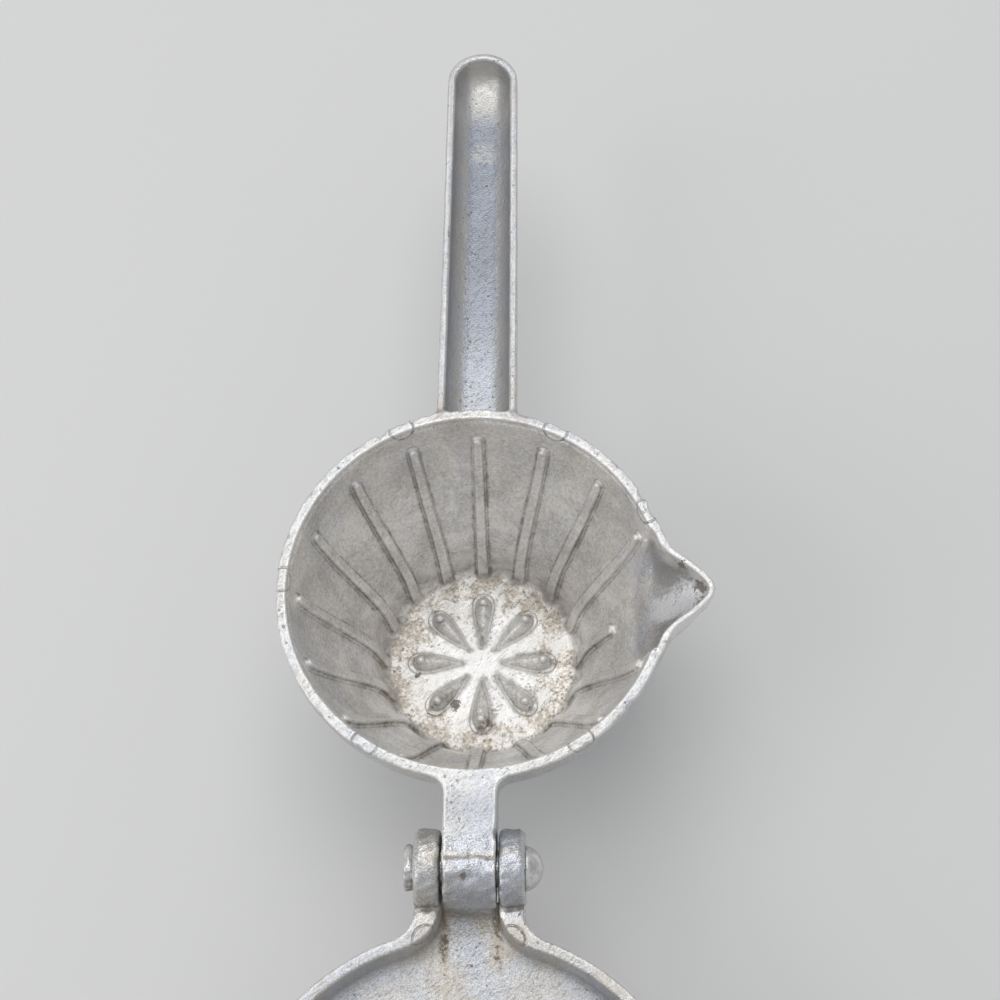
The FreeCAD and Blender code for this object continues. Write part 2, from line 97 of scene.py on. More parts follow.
class HandleSizes(bpy.types.PropertyGroup):
    root_half: length("Half width at root", "Half the handle's width at its root", 8.3)
    tip_half: length("Half width at tip", "Half the handle's width at its tip", 7.85)
    depth: length("Depth", "Depth of the handle's section", 10.0)
    corner: length("Corner", "Radius of the section's lower corners", 5.0)
    wall: length("Wall", "Thickness of the handle's side walls", 1.65)
    channel: length("Channel depth", "Depth of the open channel", 7.2)
    channel_corner: length("Channel corner", "Radius of the channel's lower corners", 4.5)
    drop: length("Drop", "How far the bowl's handle lies under the rim", 0.7)


class PresserSizes(bpy.types.PropertyGroup):
    skirt_radius: length("Skirt radius", "Outer radius of the raised skirt", 43.2)
    skirt_band: length("Skirt band", "Width of the skirt's flat top", 2.2)
    skirt_foot: length("Skirt foot", "Inner radius of the skirt at the pan", 40.3)
    pan: length("Pan", "Thickness of the pan", 3.0)
    ear_radius: length("Ear radius", "Radius of the hinge ears", 7.25)
    ear_width: length("Ear width", "Width of one hinge ear", 4.9)
    ear_round: length("Ear rounding", "Radius of the ears' edges", 1.3)
    dome_radius: length("Dome radius", "Radius of the pressing dome at the pan", 26.5)
    dome_shoulder: length("Dome shoulder", "Radius of the dome where its nose starts", 22.5)
    dome_height: length("Dome height", "Height of the dome over the pan", 36.0)
    rivet_radius: length("Rivet radius", "Radius of the rivet's shank", 3.1)
    head_radius: length("Head radius", "Radius of the rivet's domed head", 4.35)
    head_height: length("Head height", "Height of the rivet's domed head", 3.5)


class FinishColours(bpy.types.PropertyGroup):
    metal: colour("Metal", "Dull cast aluminium", (0.70, 0.68, 0.645))
    # Bright metal: worn edges, and also the colour of the painted highlights on rib tops, petal crests and
    # rim, and of the painted light on the lower inside wall
    bright: colour("Bright metal", "Aluminium worn bright on the edges", (0.90, 0.895, 0.88))
    cool: colour("Cool patches", "Bluish patches in the metal", (0.66, 0.68, 0.725))
    inside: colour("Inside", "The bowl's inside, cleaned matt by juice", (0.92, 0.89, 0.85))
    # Grime: brown dirt, and also the colour of the painted shade in sheltered corners and in the ejector
    # marks' rings
    grime: colour("Grime", "Brown dirt in the corners", (0.15, 0.12, 0.085))
    stain: colour("Stain", "Grey-brown stain on the bowl's floor", (0.56, 0.49, 0.40))
    table: colour("Table", "Pale table top", (0.80, 0.80, 0.79))


class StageSettings(bpy.types.PropertyGroup):
    focal: FloatProperty(
        name="Focal length",
        description="Of a 36 mm wide sensor",
        default=61.2,
        unit="CAMERA",
    )
    grain: length("Mesh grain", "Spacing of the grid that the castings are meshed on", 0.42)
    rough_grain: length("Quick mesh grain", "The same, while trying things out", 0.8)


# Shapes as signed distances, in millimetres, negative inside


def smooth_min(a, b, blend):
    """Union of two shapes with a fillet about as large as blend."""
    share = np.clip(0.5 + 0.5 * (b - a) / blend, 0, 1)
    return b + (a - b) * share - blend * share * (1 - share)


def smooth_max(a, b, blend):
    """What two shapes have in common, with the edge rounded."""
    return -smooth_min(-a, -b, blend)


def slab(value, half):
    """Distance to the layer between minus half and plus half."""
    return np.abs(value) - half


def rounded_corner(a, b, radius):
    """Corner of the region where a and b are both negative, rounded to the radius."""
    a, b = a + radius, b + radius
    return np.hypot(np.maximum(a, 0), np.maximum(b, 0)) + np.minimum(np.maximum(a, b), 0) - radius


def polygon_distance(x, y, corners):
    """Signed distance to a closed outline."""
    nearest = np.full(x.shape, np.inf)
    inside = np.zeros(x.shape, dtype=bool)
    previous = corners[-1]
    for corner in corners:
        edge_x, edge_y = previous[0] - corner[0], previous[1] - corner[1]
        away_x, away_y = x - corner[0], y - corner[1]
        span = max(edge_x ** 2 + edge_y ** 2, 1e-12)
        share = np.clip((away_x * edge_x + away_y * edge_y) / span, 0, 1)
        nearest = np.minimum(nearest, (away_x - edge_x * share) ** 2 + (away_y - edge_y * share) ** 2)
        crosses = (corner[1] > y) != (previous[1] > y)
        with np.errstate(divide="ignore", invalid="ignore"):
            cut = edge_x * (y - corner[1]) / (edge_y if edge_y else 1e-12) + corner[0]
        inside ^= crosses & (x < cut)
        previous = corner
    return np.where(inside, -1, 1) * np.sqrt(nearest)


def smooth_path(points, steps=8):
    """Points on a smooth line through the given ones."""

    def between(t, p, q, r, s):
        square, cube = 2 * p - 5 * q + 4 * r - s, 3 * q - p - 3 * r + s
        return 0.5 * (2 * q + (r - p) * t + square * t ** 2 + cube * t ** 3)

    ends = [points[0]] + list(points) + [points[-1]]
    line = []
    for around in zip(ends, ends[1:], ends[2:], ends[3:]):
        for number in range(steps):
            line.append(tuple(between(number / steps, *values) for values in zip(*around)))
    return line + [tuple(points[-1])]


class Section:
    """A turned section's distance, worked out once on a fine grid of radius and height."""

    def __init__(self, shape, radius, low, high, step=0.15):
        self.low, self.step = low, step
        radii = np.arange(0, radius, step)
        heights = np.arange(low, high, step)
        self.values = shape(*np.meshgrid(radii, heights, indexing="ij"))

    def __call__(self, r, z):
        a = np.clip(r / self.step, 0, self.values.shape[0] - 1.001)
        b = np.clip((z - self.low) / self.step, 0, self.values.shape[1] - 1.001)
        i, j = a.astype(int), b.astype(int)
        a, b = a - i, b - j
        v = self.values
        below = v[i, j] * (1 - a) + v[i + 1, j] * a
        above = v[i, j + 1] * (1 - a) + v[i + 1, j + 1] * a
        return below * (1 - b) + above * b


def ripple(x, y, z, size, seed, waves=7):
    """Gentle unevenness between about -1 and 1, with bumps of about the given size."""
    source = np.random.default_rng(seed)
    total = np.zeros_like(x)
    for _ in range(waves):
        way = source.normal(size=3)
        way *= 2 * math.pi / (size * np.linalg.norm(way) * source.uniform(0.7, 1.5))
        total += np.sin(x * way[0] + y * way[1] + z * way[2] + source.uniform(0, 2 * math.pi))
    return total / math.sqrt(waves * 2)


def outside_box(x, y, z, box):
    """How far a point lies outside a CAD node's box."""
    past = [np.maximum(low * MM - value, value - high * MM) for low, high, value in zip(*box, (x, y, z))]
    return np.maximum(np.maximum(past[0], past[1]), past[2])


def handle_shape(sizes, across, along, up, reach, depth):
    """Outside and channel of a U-section handle; up is measured from its wall tops."""
    centre = reach - sizes.tip_half * MM
    root, tip = sizes.root_half * MM, sizes.tip_half * MM
    half = root + (tip - root) * np.clip(along / centre, 0, 1)
    plan = np.where(along < centre, np.abs(across) - half, np.hypot(across, along - centre) - tip)
    outside = rounded_corner(plan, -up - depth, sizes.corner * MM)
    channel = rounded_corner(plan + sizes.wall * MM, -up - sizes.channel * MM, sizes.channel_corner * MM)
    return outside, channel


# Bowl casting

# In millimetres: upper ends of the ribs and of the short one under the spout, the handle's length
# from the rim, and the radii of the rivet's holes in the knuckle and in the ears
RIB_TOP, SHORT_RIB_TOP = 42.3, 25.0
BOWL_HANDLE_REACH = 92.3
KNUCKLE_BORE, EAR_BORE = 3.18, 3.12

# The wall's inside, from the floor upwards: how far it lies inside the mouth, and below the rim
WALL_STEPS = ((14.95, 46), (13.15, 36), (9.85, 28), (6.05, 20.5), (3.25, 14.5), (0.75, 7.4))

# The spout's side, from its root to its tip: how far from the tip, and half its width there
SPOUT_SIDE = ((-17, 13.0), (-11.6, 13.6), (-9.6, 10.2), (-7.9, 8.3), (-4.4, 5.7), (-1.7, 3.2), (-0.5, 1.6))


def wall_line(sizes, set_out):
    """The bowl's wall from floor to rim as radius and height, moved outwards by set_out."""
    height = sizes.height * MM
    mouth = (sizes.rim_radius - sizes.rim_band) * MM
    steps = [(mouth - inset + set_out, height - depth) for inset, depth in WALL_STEPS]
    return smooth_path(steps + [(sizes.rim_radius * MM if set_out else mouth, height)], 4)


def spout_plan(sizes):
    """Outline of the spout from above."""
    reach = sizes.spout_reach * MM
    upper = smooth_path([(reach + x, y) for x, y in SPOUT_SIDE], 5)
    return upper + [(reach, 0.0)] + [(x, -y) for x, y in reversed(upper)]


class BowlShape:
    """Distance to the bowl casting: bowl, spout, handle and hinge tongue."""

    # Chips on the rim, each by its angle in degrees, its size and how deep it bites, in millimetres
    CHIPS = (
        (120.5, 2.2, 0.7),
        (127.0, 1.2, 0.35),
        (69.0, 1.5, 0.45),
        (62.5, 2.0, 0.4),
        (30.5, 1.8, 0.7),
        (24.5, 2.4, 0.5),
        (177.0, 0.9, 0.3),
        (-122.5, 1.6, 0.35),
        (-137.5, 1.0, 0.3),
        (-56.0, 1.0, 0.3),
        (-38.0, 1.2, 0.25),
    )

    def __init__(self, bowl, handle):
        self.bowl, self.handle = bowl, handle
        self.height = bowl.height * MM
        self.rim = bowl.rim_radius * MM
        self.hinge_y, self.hinge_z = HINGE["pos_m"][1] * MM, HINGE["pos_m"][2] * MM
        self.plan = spout_plan(bowl)
        inner = wall_line(bowl, 0)
        outer = wall_line(bowl, bowl.wall * MM)
        mouth = (bowl.rim_radius - bowl.rim_band) * MM
        above = self.height + 12
        lip = [(mouth - 0.02, self.height - 1.5), (mouth + 0.26, self.height - 1.2), (mouth + 0.26, above)]
        cavity_line = [(-9, -9), (inner[0][0] - 1.7, -9)] + inner[:-1] + lip + [(-9, above)]
        outer_line = [(-9, -9), (outer[0][0] - 1.7, -9)] + outer + [(self.rim, above), (-9, above)]
        floor = bowl.floor * MM

        def cavity(r, z):
            return smooth_max(polygon_distance(r, z, cavity_line), floor - z, 2.4)

        def outside(r, z):
            return smooth_max(polygon_distance(r, z, outer_line), -z, 2.6)

        def wall(r, z):
            return polygon_distance(r, z, cavity_line)

        self.cavity = Section(cavity, 70, -8, self.height + 8)
        self.outside = Section(outside, 70, -8, self.height + 8)
        self.wall = Section(wall, 70, -8, self.height + 8)

    def spout(self, x, y, z):
        """Outside and pouring channel of the spout: half an oval that narrows and rises to the lip."""
        reach = self.bowl.spout_reach * MM
        y = y + 0.5
        plan = polygon_distance(x, y, self.plan)
        back = reach - x
        half = np.interp(-back, [side[0] for side in SPOUT_SIDE], [side[1] for side in SPOUT_SIDE])
        down = self.height - z
        lip = self.bowl.spout_lip * MM

        def oval(half, depth):
            reach_out = (np.abs(y / half) ** 2.3 + np.abs(down / depth) ** 2.3) ** (1 / 2.3)
            return (np.where(down > 0, reach_out, np.abs(y / half)) - 1) * np.minimum(half, depth) / 1.4

        outside = smooth_max(plan, oval(half + 0.6, 3.6 + back * 1.3), 0.8)
        gully = smooth_max(plan + lip, oval(np.maximum(half - lip, 0.6) + 0.2, 1.6 + back * 1.02), 0.8)
        return outside, gully

    def web(self, x, y, z):
        """The straight part of the hinge tongue, down to the knuckle's lowest level."""
        low = self.hinge_z - self.bowl.knuckle * MM
        section = rounded_corner(slab(x, self.bowl.tongue_half * MM), low - z, 1.0)
        return smooth_max(section, slab(y - self.hinge_y / 2 + 8, 19), 0.5)

    def grip(self, x, y, z):
        """The handle, with its channel open at the top."""
        up = z - self.height + self.handle.drop * MM
        depth = self.handle.depth * MM
        outside, channel = handle_shape(self.handle, x, y - self.rim, up, BOWL_HANDLE_REACH, depth)
        grip = smooth_max(smooth_max(outside, -channel, 0.5), up, 0.5)
        return np.maximum(grip, 20 - y)

    def knuckle(self, x, y, z, radial):
        """The tongue's round end, with a low flash line round its free side."""
        half, radius = self.bowl.tongue_half * MM, self.bowl.knuckle * MM
        barrel = smooth_max(radial - radius, slab(x, half), 0.7)
        flash = np.maximum(slab(z - self.hinge_z, 0.22), radial - radius - 0.45)
        flash = np.maximum(np.maximum(flash, slab(x, half - 0.3)), y - self.hinge_y)
        return smooth_min(barrel, flash, 0.2)

    def with_seam(self, x, y, z, radial, solid):
        """The casting with the knuckle's top a little lower, and a raised seam where it begins."""
        level = z - self.height
        step = np.clip((self.hinge_y + 0.9 - y) * 0.6, 0, 0.26)
        solid = np.maximum(solid, np.where(radial < 12, level + step, -9))
        line = self.hinge_y + 0.8 + 0.25 * ripple(x, 0 * y, 0 * z, 5, 15)
        seam = np.hypot(y - line, level + 0.25) - 0.33
        return smooth_min(solid, np.maximum(seam, slab(x, self.bowl.tongue_half * MM - 0.4)), 0.2)

    def __call__(self, x, y, z):
        r = np.hypot(x, y)
        radial = np.hypot(y - self.hinge_y, z - self.hinge_z)
        near_spout = x > self.rim * 0.6
        spout, gully = np.full_like(x, 50.0), np.full_like(x, 50.0)
        spout[near_spout], gully[near_spout] = self.spout(x[near_spout], y[near_spout], z[near_spout])
        solid = smooth_min(self.outside(r, z), spout, 2.0)
        solid = smooth_min(solid, self.web(x, y, z), 3.0)
        solid = smooth_min(solid, self.grip(x, y, z), 1.6)
        solid = smooth_max(solid, z - self.height, 0.35)
        void = smooth_min(self.cavity(r, z), gully, 1.4)
        solid = smooth_max(solid, -void, 0.35)
        solid = smooth_min(solid, self.knuckle(x, y, z, radial), 0.3)
        solid = self.with_seam(x, y, z, radial, solid)
        solid = np.maximum(solid, KNUCKLE_BORE - radial)
        return self.worn(x, y, z, r, solid)

    def rib(self, x, y, z, top):
        """The rib that lies on the X axis, up to the given height."""
        floor = self.bowl.floor * MM
        half = np.interp(z, [floor, self.height - 8], [1, 0.78]) * self.bowl.rib_width * MM / 2
        plan = rounded_corner(slab(y, half), z - top, 0.9)
        rise, root = self.bowl.rib_rise * MM, 0.8
        crest = slab(self.wall(np.hypot(x, y), z) - (root - rise) / 2, (root + rise) / 2)
        return rounded_corner(plan, crest, 0.45)

    def petal(self, x, y, z):
        """The petal that lies on the X axis: low and pointed inside, high and blunt outside."""
        floor, high = self.bowl.floor * MM, self.bowl.petal_height * MM

        def teardrop(start, end, width):
            """Half the width at x, how far x lies past the ends, and its share of the way along."""
            share = np.clip((x - start) / (end - start), 0, 1)
            half = np.maximum(width * share ** 0.75 * np.sqrt(1 - share ** 5), 0.05)
            return half, np.maximum(start - x, x - end), share

        half, past, share = teardrop(4.3, 15.3, 2.75)
        rise = high * 0.9 * np.minimum(0.14 + 1.15 * share, 1) * np.sqrt(1.02 - share ** 8)
        across, up = np.abs(y) / half, np.maximum(z - floor, 0) / rise
        body = ((across ** 1.8 + up ** 1.8) ** (1 / 1.8) - 1) * np.minimum(half, rise) * 0.8
        body = np.maximum(body, past)
        half, past, _ = teardrop(4.0, 16.3, 3.35)
        foot = np.maximum(np.maximum((np.abs(y) - half) * 0.8, z - floor - 0.28), past)
        boss = np.sqrt((x - 13.4) ** 2 + y ** 2 + (z - floor - high + 0.55) ** 2) - 0.95
        return smooth_min(smooth_min(body, foot, 0.3), boss, 0.2)

    def with_ribs(self, x, y, z):
        """The casting with its ribs and petals."""
        solid = self(x, y, z)
        angle, r = np.arctan2(y, x), np.hypot(x, y)
        sector = 2 * math.pi / self.bowl.rib_count
        turn = (angle + sector / 2) % sector - sector / 2
        top = np.where(np.abs(angle) < sector / 2, SHORT_RIB_TOP, RIB_TOP)
        solid = smooth_min(solid, self.rib(r * np.cos(turn), r * np.sin(turn), z, top), 0.7)
        sector = 2 * math.pi / self.bowl.petal_count
        turn = (angle + sector / 2) % sector - sector / 2
        return smooth_min(solid, self.petal(r * np.cos(turn), r * np.sin(turn), z), 0.6)

    def rib_alone(self, top):
        """One rib with a narrow strip of wall round it, sunk a little so that it grows out of the wall."""

        def shape(x, y, z):
            ground = -self.cavity(np.hypot(x, y), z)
            raised = smooth_min(ground, self.rib(x, y, z, top), 0.7) + 0.06
            strip = np.maximum(slab(y, self.bowl.rib_width * MM / 2 + 1.1), z - top - 1.2)
            strip = np.maximum(strip, 19.0 - x)
            return np.maximum(np.maximum(raised, strip), -ground - 0.7)

        return shape

    def petal_alone(self):
        """One petal with its foot, sunk a little into the floor."""
        floor = self.bowl.floor * MM

        def shape(x, y, z):
            raised = smooth_min(z - floor, self.petal(x, y, z), 0.6) + 0.06
            return np.maximum(np.maximum(raised, self.petal(x, y, floor + 0 * z) - 0.9), floor - 0.7 - z)

        return shape

    def hinge_wear(self, x, y, z):
        """Small dents on the knuckle."""
        radial = np.hypot(y - self.hinge_y, z - self.hinge_z)
        near = np.exp(-((radial / 9.5) ** 8)) * (np.abs(x) < 6)
        hollow = np.exp(-((x + 0.6) ** 2 / 4.5 + (y - self.hinge_y + 3.1) ** 2 / 0.7)) * (z > self.hinge_z)
        return near * (0.12 * ripple(x, y, z, 1.7, 14) + 0.06) + 0.4 * hollow

    def worn(self, x, y, z, r, solid):
        """Chips and unevenness: deepest on the rim's outer edge, slight everywhere."""
        edge = np.exp(-((r - self.rim) ** 2 + (z - self.height) ** 2) / 1.6)
        solid = solid + edge * (0.05 + 0.05 * ripple(x, y, z, 2.2, 5) + 0.07 * ripple(x, y, z, 8, 6))
        solid = solid + self.hinge_wear(x, y, z)
        for angle, size, bite in self.CHIPS:
            turn = math.radians(angle)
            reach = self.rim + size - bite
            away = np.sqrt(
                (x - math.cos(turn) * reach) ** 2
                + (y - math.sin(turn) * reach) ** 2
                + ((z - self.height) * 0.8) ** 2
            )
            solid = smooth_max(solid, size - away, 0.35)
        solid = solid + 0.035 * ripple(x, y, z, 9, 11) + 0.018 * ripple(x, y, z, 3.2, 12)
        return np.maximum(solid, outside_box(x, y, z, BOWL_BOX))


# Presser casting

# In millimetres: length of the handle, the gap on each side of the knuckle, how much of that gap
# dirt fills, and the gap over the rim when shut
PRESSER_HANDLE_REACH = 91.0
EAR_GAP, DIRT_IN_GAP, SHUT_GAP = 0.35, 0.1, 0.3


class PresserShape:
    """Distance to the presser casting: pan, skirt, dome, neck, ears and handle."""

    def __init__(self, bowl, presser, handle):
        self.presser, self.handle = presser, handle
        self.hinge_y, self.hinge_z = HINGE["pos_m"][1] * MM, HINGE["pos_m"][2] * MM
        self.centre_y = 2 * self.hinge_y
        self.gap_half = bowl.tongue_half * MM + EAR_GAP
        self.floor = self.hinge_z - bowl.height * MM - SHUT_GAP
        self.below = self.floor - presser.pan * MM
        skirt, foot = presser.skirt_radius * MM, presser.skirt_foot * MM
        inner = skirt - presser.skirt_band * MM
        ring_line = [
            (foot, self.below),
            (skirt - 1.5, self.below),
            (skirt, self.below + 1.6),
            (skirt, 0),
            (inner, 0),
            (foot, self.floor),
        ]
        plate_line = [
            (-9, self.below),
            (skirt - 1.5, self.below),
            (skirt - 1.2, self.floor),
            (-9, self.floor),
        ]
        base, shoulder = presser.dome_radius * MM, presser.dome_shoulder * MM
        top = self.floor + presser.dome_height * MM
        nose = presser.dome_height * MM / 2

        def bell(set_in, low):
            """Half the dome's outline: straight flank, then a round nose."""
            reach = shoulder - set_in
            radius = (reach ** 2 + nose ** 2) / (2 * nose)
            turns = [math.asin(reach / radius) * (1 - step / 14) for step in range(15)]
            peak = top - set_in
            crown = [(radius * math.sin(turn), peak - radius * (1 - math.cos(turn))) for turn in turns]
            return [(base - set_in + 0.3, low)] + crown + [(-9, peak), (-9, low)]

        dome_line = bell(0, self.below + 1)
        hollow_line = bell(2.6, self.below - 8)

        def ring(r, z):
            return smooth_min(polygon_distance(r, z, ring_line), polygon_distance(r, z, plate_line), 1.8)

        def dome(r, z):
            return polygon_distance(r, z, dome_line)

        def hollow(r, z):
            return polygon_distance(r, z, hollow_line)

        self.ring = Section(ring, 70, -30, 40)
        self.dome = Section(dome, 70, -30, 40)
        self.hollow = Section(hollow, 70, -30, 40)
        tip_corner = handle.depth * MM - handle.corner * MM
        run = PRESSER_HANDLE_REACH - handle.corner * MM
        fall = self.hinge_z + self.floor - 0.6 - handle.corner * MM
        self.slope = math.asin(fall / math.hypot(run, tip_corner)) - math.atan(tip_corner / run)

    def grip(self, x, y, z):
        """The handle, which slopes down so that its tip rests on the table."""
        skirt = self.presser.skirt_radius * MM
        back, down = y + skirt, z - self.floor + 0.6
        along = -back * math.cos(self.slope) - down * math.sin(self.slope)
        up = -back * math.sin(self.slope) + down * math.cos(self.slope)
        depth = self.handle.depth * MM + np.clip(along, -14, 0) * 0.5
        outside, channel = handle_shape(self.handle, x, along, up, PRESSER_HANDLE_REACH, depth)
        channel = np.maximum(channel, 2.0 - along)
        grip = smooth_max(smooth_max(outside, -channel, 0.5), up, 0.5)
        return np.maximum(np.maximum(grip, z - self.floor), -14 - along)

    def arms(self, y, z, flank):
        """The two walls that run from the skirt to the ears."""
        ear, reach = self.presser.ear_radius * MM, -self.hinge_y
        side = [
            (reach, -ear),
            (reach, -3.0),
            (reach - 3.0, 0),
            (36, 0),
            (36, self.below),
            (self.presser.skirt_radius * MM - 0.7, self.below),
        ]
        return smooth_max(polygon_distance(y, z, side), flank, 0.6)

    def neck(self, x, y, z):
        """The plate between the arms, which ends short of the knuckle."""
        reach = -self.hinge_y
        heel, tip = self.presser.skirt_radius * MM - 0.7, reach - 4.6
        rise = (-self.presser.ear_radius * MM - self.below) / (reach - heel)
        side = [
            (36, self.below),
            (heel, self.below),
            (tip, self.below + (tip - heel) * rise),
            (tip, self.floor),
            (36, self.floor),
        ]
        return np.maximum(polygon_distance(y, z, side), slab(x, 7.0))

    def openings(self, x, y, z, r):
        """What is cut away, each with its rounding: slot and seat, both breaks, the dome's hollow."""
        presser, above = self.presser, self.floor - z
        seat = r - presser.skirt_foot * MM + above * 0.09
        slot = np.maximum(slab(x, self.gap_half - DIRT_IN_GAP), 28.5 - y)
        inner = rounded_corner(smooth_min(seat, slot, 8.0), above, 1.7)
        spout_break = np.maximum(rounded_corner(slab(y, 10.0), above, 0.6), 37 - x)
        root_break = np.maximum(rounded_corner(slab(x, 10.3), above, 0.6), y + 37)
        return (
            (np.maximum(inner, presser.dome_radius * MM + 2 - r), 0.5),
            (spout_break, 0.8),
            (np.maximum(root_break, -46.5 - y), 0.8),
            (self.hollow(r, z), 0.8),
        )

    def __call__(self, x, y, z):
        presser = self.presser
        y, z = y - self.centre_y, z - self.hinge_z
        r = np.hypot(x, y)
        radial = np.hypot(y + self.hinge_y, z)
        ear_half = presser.ear_width * MM / 2
        flank = slab(np.abs(x) - self.gap_half - ear_half, ear_half + DIRT_IN_GAP)
        ring = smooth_min(self.ring(r, z), self.arms(y, z, flank), 4.5)
        ring = smooth_min(ring, self.neck(x, y, z), 0.5)
        ring = smooth_max(smooth_max(ring, z, 0.4), self.below - z, 1.0)
        solid = smooth_min(ring, self.grip(x, y, z), 2.0)
        solid = smooth_min(solid, self.dome(r, z), 3.0)
        ears = rounded_corner(radial - presser.ear_radius * MM, flank, presser.ear_round * MM)
        solid = smooth_min(solid, ears, 0.5)
        for opening, blend in self.openings(x, y, z, r):
            solid = smooth_max(solid, -opening, blend)
        solid = np.maximum(solid, EAR_BORE - radial)
        dents = np.exp(-((radial / 9.5) ** 8)) * (0.12 * ripple(x, y, z, 1.7, 24) + 0.06)
        solid = solid + dents + 0.035 * ripple(x, y, z, 9, 21) + 0.018 * ripple(x, y, z, 3.2, 22)
        return np.maximum(solid, outside_box(x, y + self.centre_y, z + self.hinge_z, PRESSER_BOX))


# Rivet

# In millimetres: from the middle to the ears' outer faces, and the hammered end's size
RIVET_FACE = 10.25
RIVET_END_RADIUS, RIVET_END_HALF = 4.15, 1.05


class RivetShape:
    """Distance to the rivet: shank, domed head and hammered end."""

    def __init__(self, presser):
        self.presser = presser
        self.y, self.z = HINGE["pos_m"][1] * MM, HINGE["pos_m"][2] * MM
        self.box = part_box("hinge_rivet")

    def __call__(self, x, y, z):
        radial = np.hypot(y - self.y, z - self.z)
        face, radius = RIVET_FACE, self.presser.rivet_radius * MM
        shank = np.maximum(radial - radius, slab(x, face + 0.5))
        head, rise = self.presser.head_radius * MM, self.presser.head_height * MM
        ball = (head ** 2 + rise ** 2) / (2 * rise)
        dome = np.hypot(radial, x - (face + rise - ball)) - ball
        dome = smooth_max(dome, face + 0.02 - x, 0.5)
        edge = radial - RIVET_END_RADIUS + 0.3 * ripple(x * 0, y, z, 5, 31)
        end = rounded_corner(edge, slab(x + face + RIVET_END_HALF, RIVET_END_HALF), 1.0)
        end = end + 0.1 + 0.16 * ripple(x, y, z, 1.9, 32) + 0.1 * ripple(x, y, z, 3.6, 33)
        solid = np.minimum(smooth_min(shank, dome, 0.3), smooth_min(shank, end, 0.3))
        solid = solid + 0.02 + 0.02 * ripple(x, y, z, 2.2, 34)
        return np.maximum(solid, outside_box(x, y, z, self.box))


# Meshing a shape

# Most triangles in one casting's mesh, and the spacing of small pieces' grids in millimetres
CASTING_TRIANGLES = 186000
FINE_GRAIN, FINEST_GRAIN = 0.24, 0.2


def block_values(shape, low, counts, grain, block=8):
    """Distances on a grid, worked out only in the blocks that the surface can pass through."""
    blocks = [-(-count // block) for count in counts]
    steps = [(np.arange(n) + 0.5) * block * grain + start for n, start in zip(blocks, low)]
    centres = np.meshgrid(*steps, indexing="ij")
    coarse = shape(*[centre.ravel() for centre in centres])
    values = np.repeat(coarse.astype(np.float32), block ** 3).reshape(-1, block, block, block)
    near = np.flatnonzero(np.abs(coarse) < block * grain * 0.87 * 1.35 + 1.6)
    inner = (np.arange(block)) * grain
    offsets = [axis.ravel() for axis in np.meshgrid(inner, inner, inner, indexing="ij")]
    for part in np.array_split(near, max(1, len(near) // 1500)):
        corners = [centre.ravel()[part] - block * grain / 2 for centre in centres]
        points = [(corner[:, None] + offset[None, :]).ravel() for corner, offset in zip(corners, offsets)]
        values[part] = shape(*points).reshape(-1, block, block, block)
    values = values.reshape(*blocks, block, block, block).transpose(0, 3, 1, 4, 2, 5)
    return values.reshape([n * block for n in blocks])


def net_of(values, low, grain):
    """Vertices and quads of a net drawn through the cells where the distance changes sign."""
    inside = values < 0
    shape = tuple(n - 1 for n in values.shape)
    corner_steps = [(i, j, k) for i in (0, 1) for j in (0, 1) for k in (0, 1)]
    count = sum(
        inside[i : i + shape[0], j : j + shape[1], k : k + shape[2]].astype(np.uint8)
        for i, j, k in corner_steps
    )
    cells = np.argwhere((count > 0) & (count < 8))
    index = np.full(shape, -1, dtype=np.int64)
    index[tuple(cells.T)] = np.arange(len(cells))
    corners = np.stack([values[tuple((cells + step).T)] for step in corner_steps], axis=1)
    total = np.zeros((len(cells), 3))
    hits = np.zeros(len(cells))
    for a, step_a in enumerate(corner_steps):
        for b, step_b in enumerate(corner_steps):
            if a < b and sum(abs(p - q) for p, q in zip(step_a, step_b)) == 1:
                crossing = (corners[:, a] < 0) != (corners[:, b] < 0)
                with np.errstate(divide="ignore", invalid="ignore"):
                    share = corners[:, a] / (corners[:, a] - corners[:, b])
                place = np.array(step_a) + share[:, None] * (np.array(step_b) - np.array(step_a))
                total[crossing] += place[crossing]
                hits += crossing
    vertices = (cells + total / hits[:, None]) * grain + np.array(low)
    quads = []
    for axis in range(3):
        ahead, behind = [slice(None)] * 3, [slice(None)] * 3
        ahead[axis], behind[axis] = slice(1, None), slice(None, -1)
        changes = np.argwhere(inside[tuple(ahead)] != inside[tuple(behind)])
        others = [other for other in range(3) if other != axis]
        beside = changes[:, others]
        keep = np.all((beside > 0) & (beside < np.array(shape)[others]), axis=1)
        changes = changes[keep]
        ring = []
        for back_a, back_b in ((1, 1), (0, 1), (0, 0), (1, 0)):
            cell = changes.copy()
            cell[:, others[0]] -= back_a
            cell[:, others[1]] -= back_b
            ring.append(index[tuple(cell.T)])
        ring = np.stack(ring, axis=1)
        flip = inside[tuple(changes.T)]
        if axis == 1:
            flip = ~flip
        ring[~flip] = ring[~flip][:, ::-1]
        quads.append(ring)
    return vertices, np.concatenate(quads)


def slope_of(shape, points, step=0.05):
    """Unit normals, and the distance at the points."""
    here = shape(*points.T)
    slope = np.stack([shape(*(points + way * step).T) - here for way in np.eye(3)], axis=1)
    size = np.linalg.norm(slope, axis=1)
    return slope / np.maximum(size, 1e-9)[:, None], here / np.maximum(size / step, 0.3)


def settle(shape, points):
    """Points moved onto the surface, and its normals there."""
    normals, away = slope_of(shape, points)
    points = points - normals * np.clip(away, -0.35, 0.35)[:, None]
    return points, normals


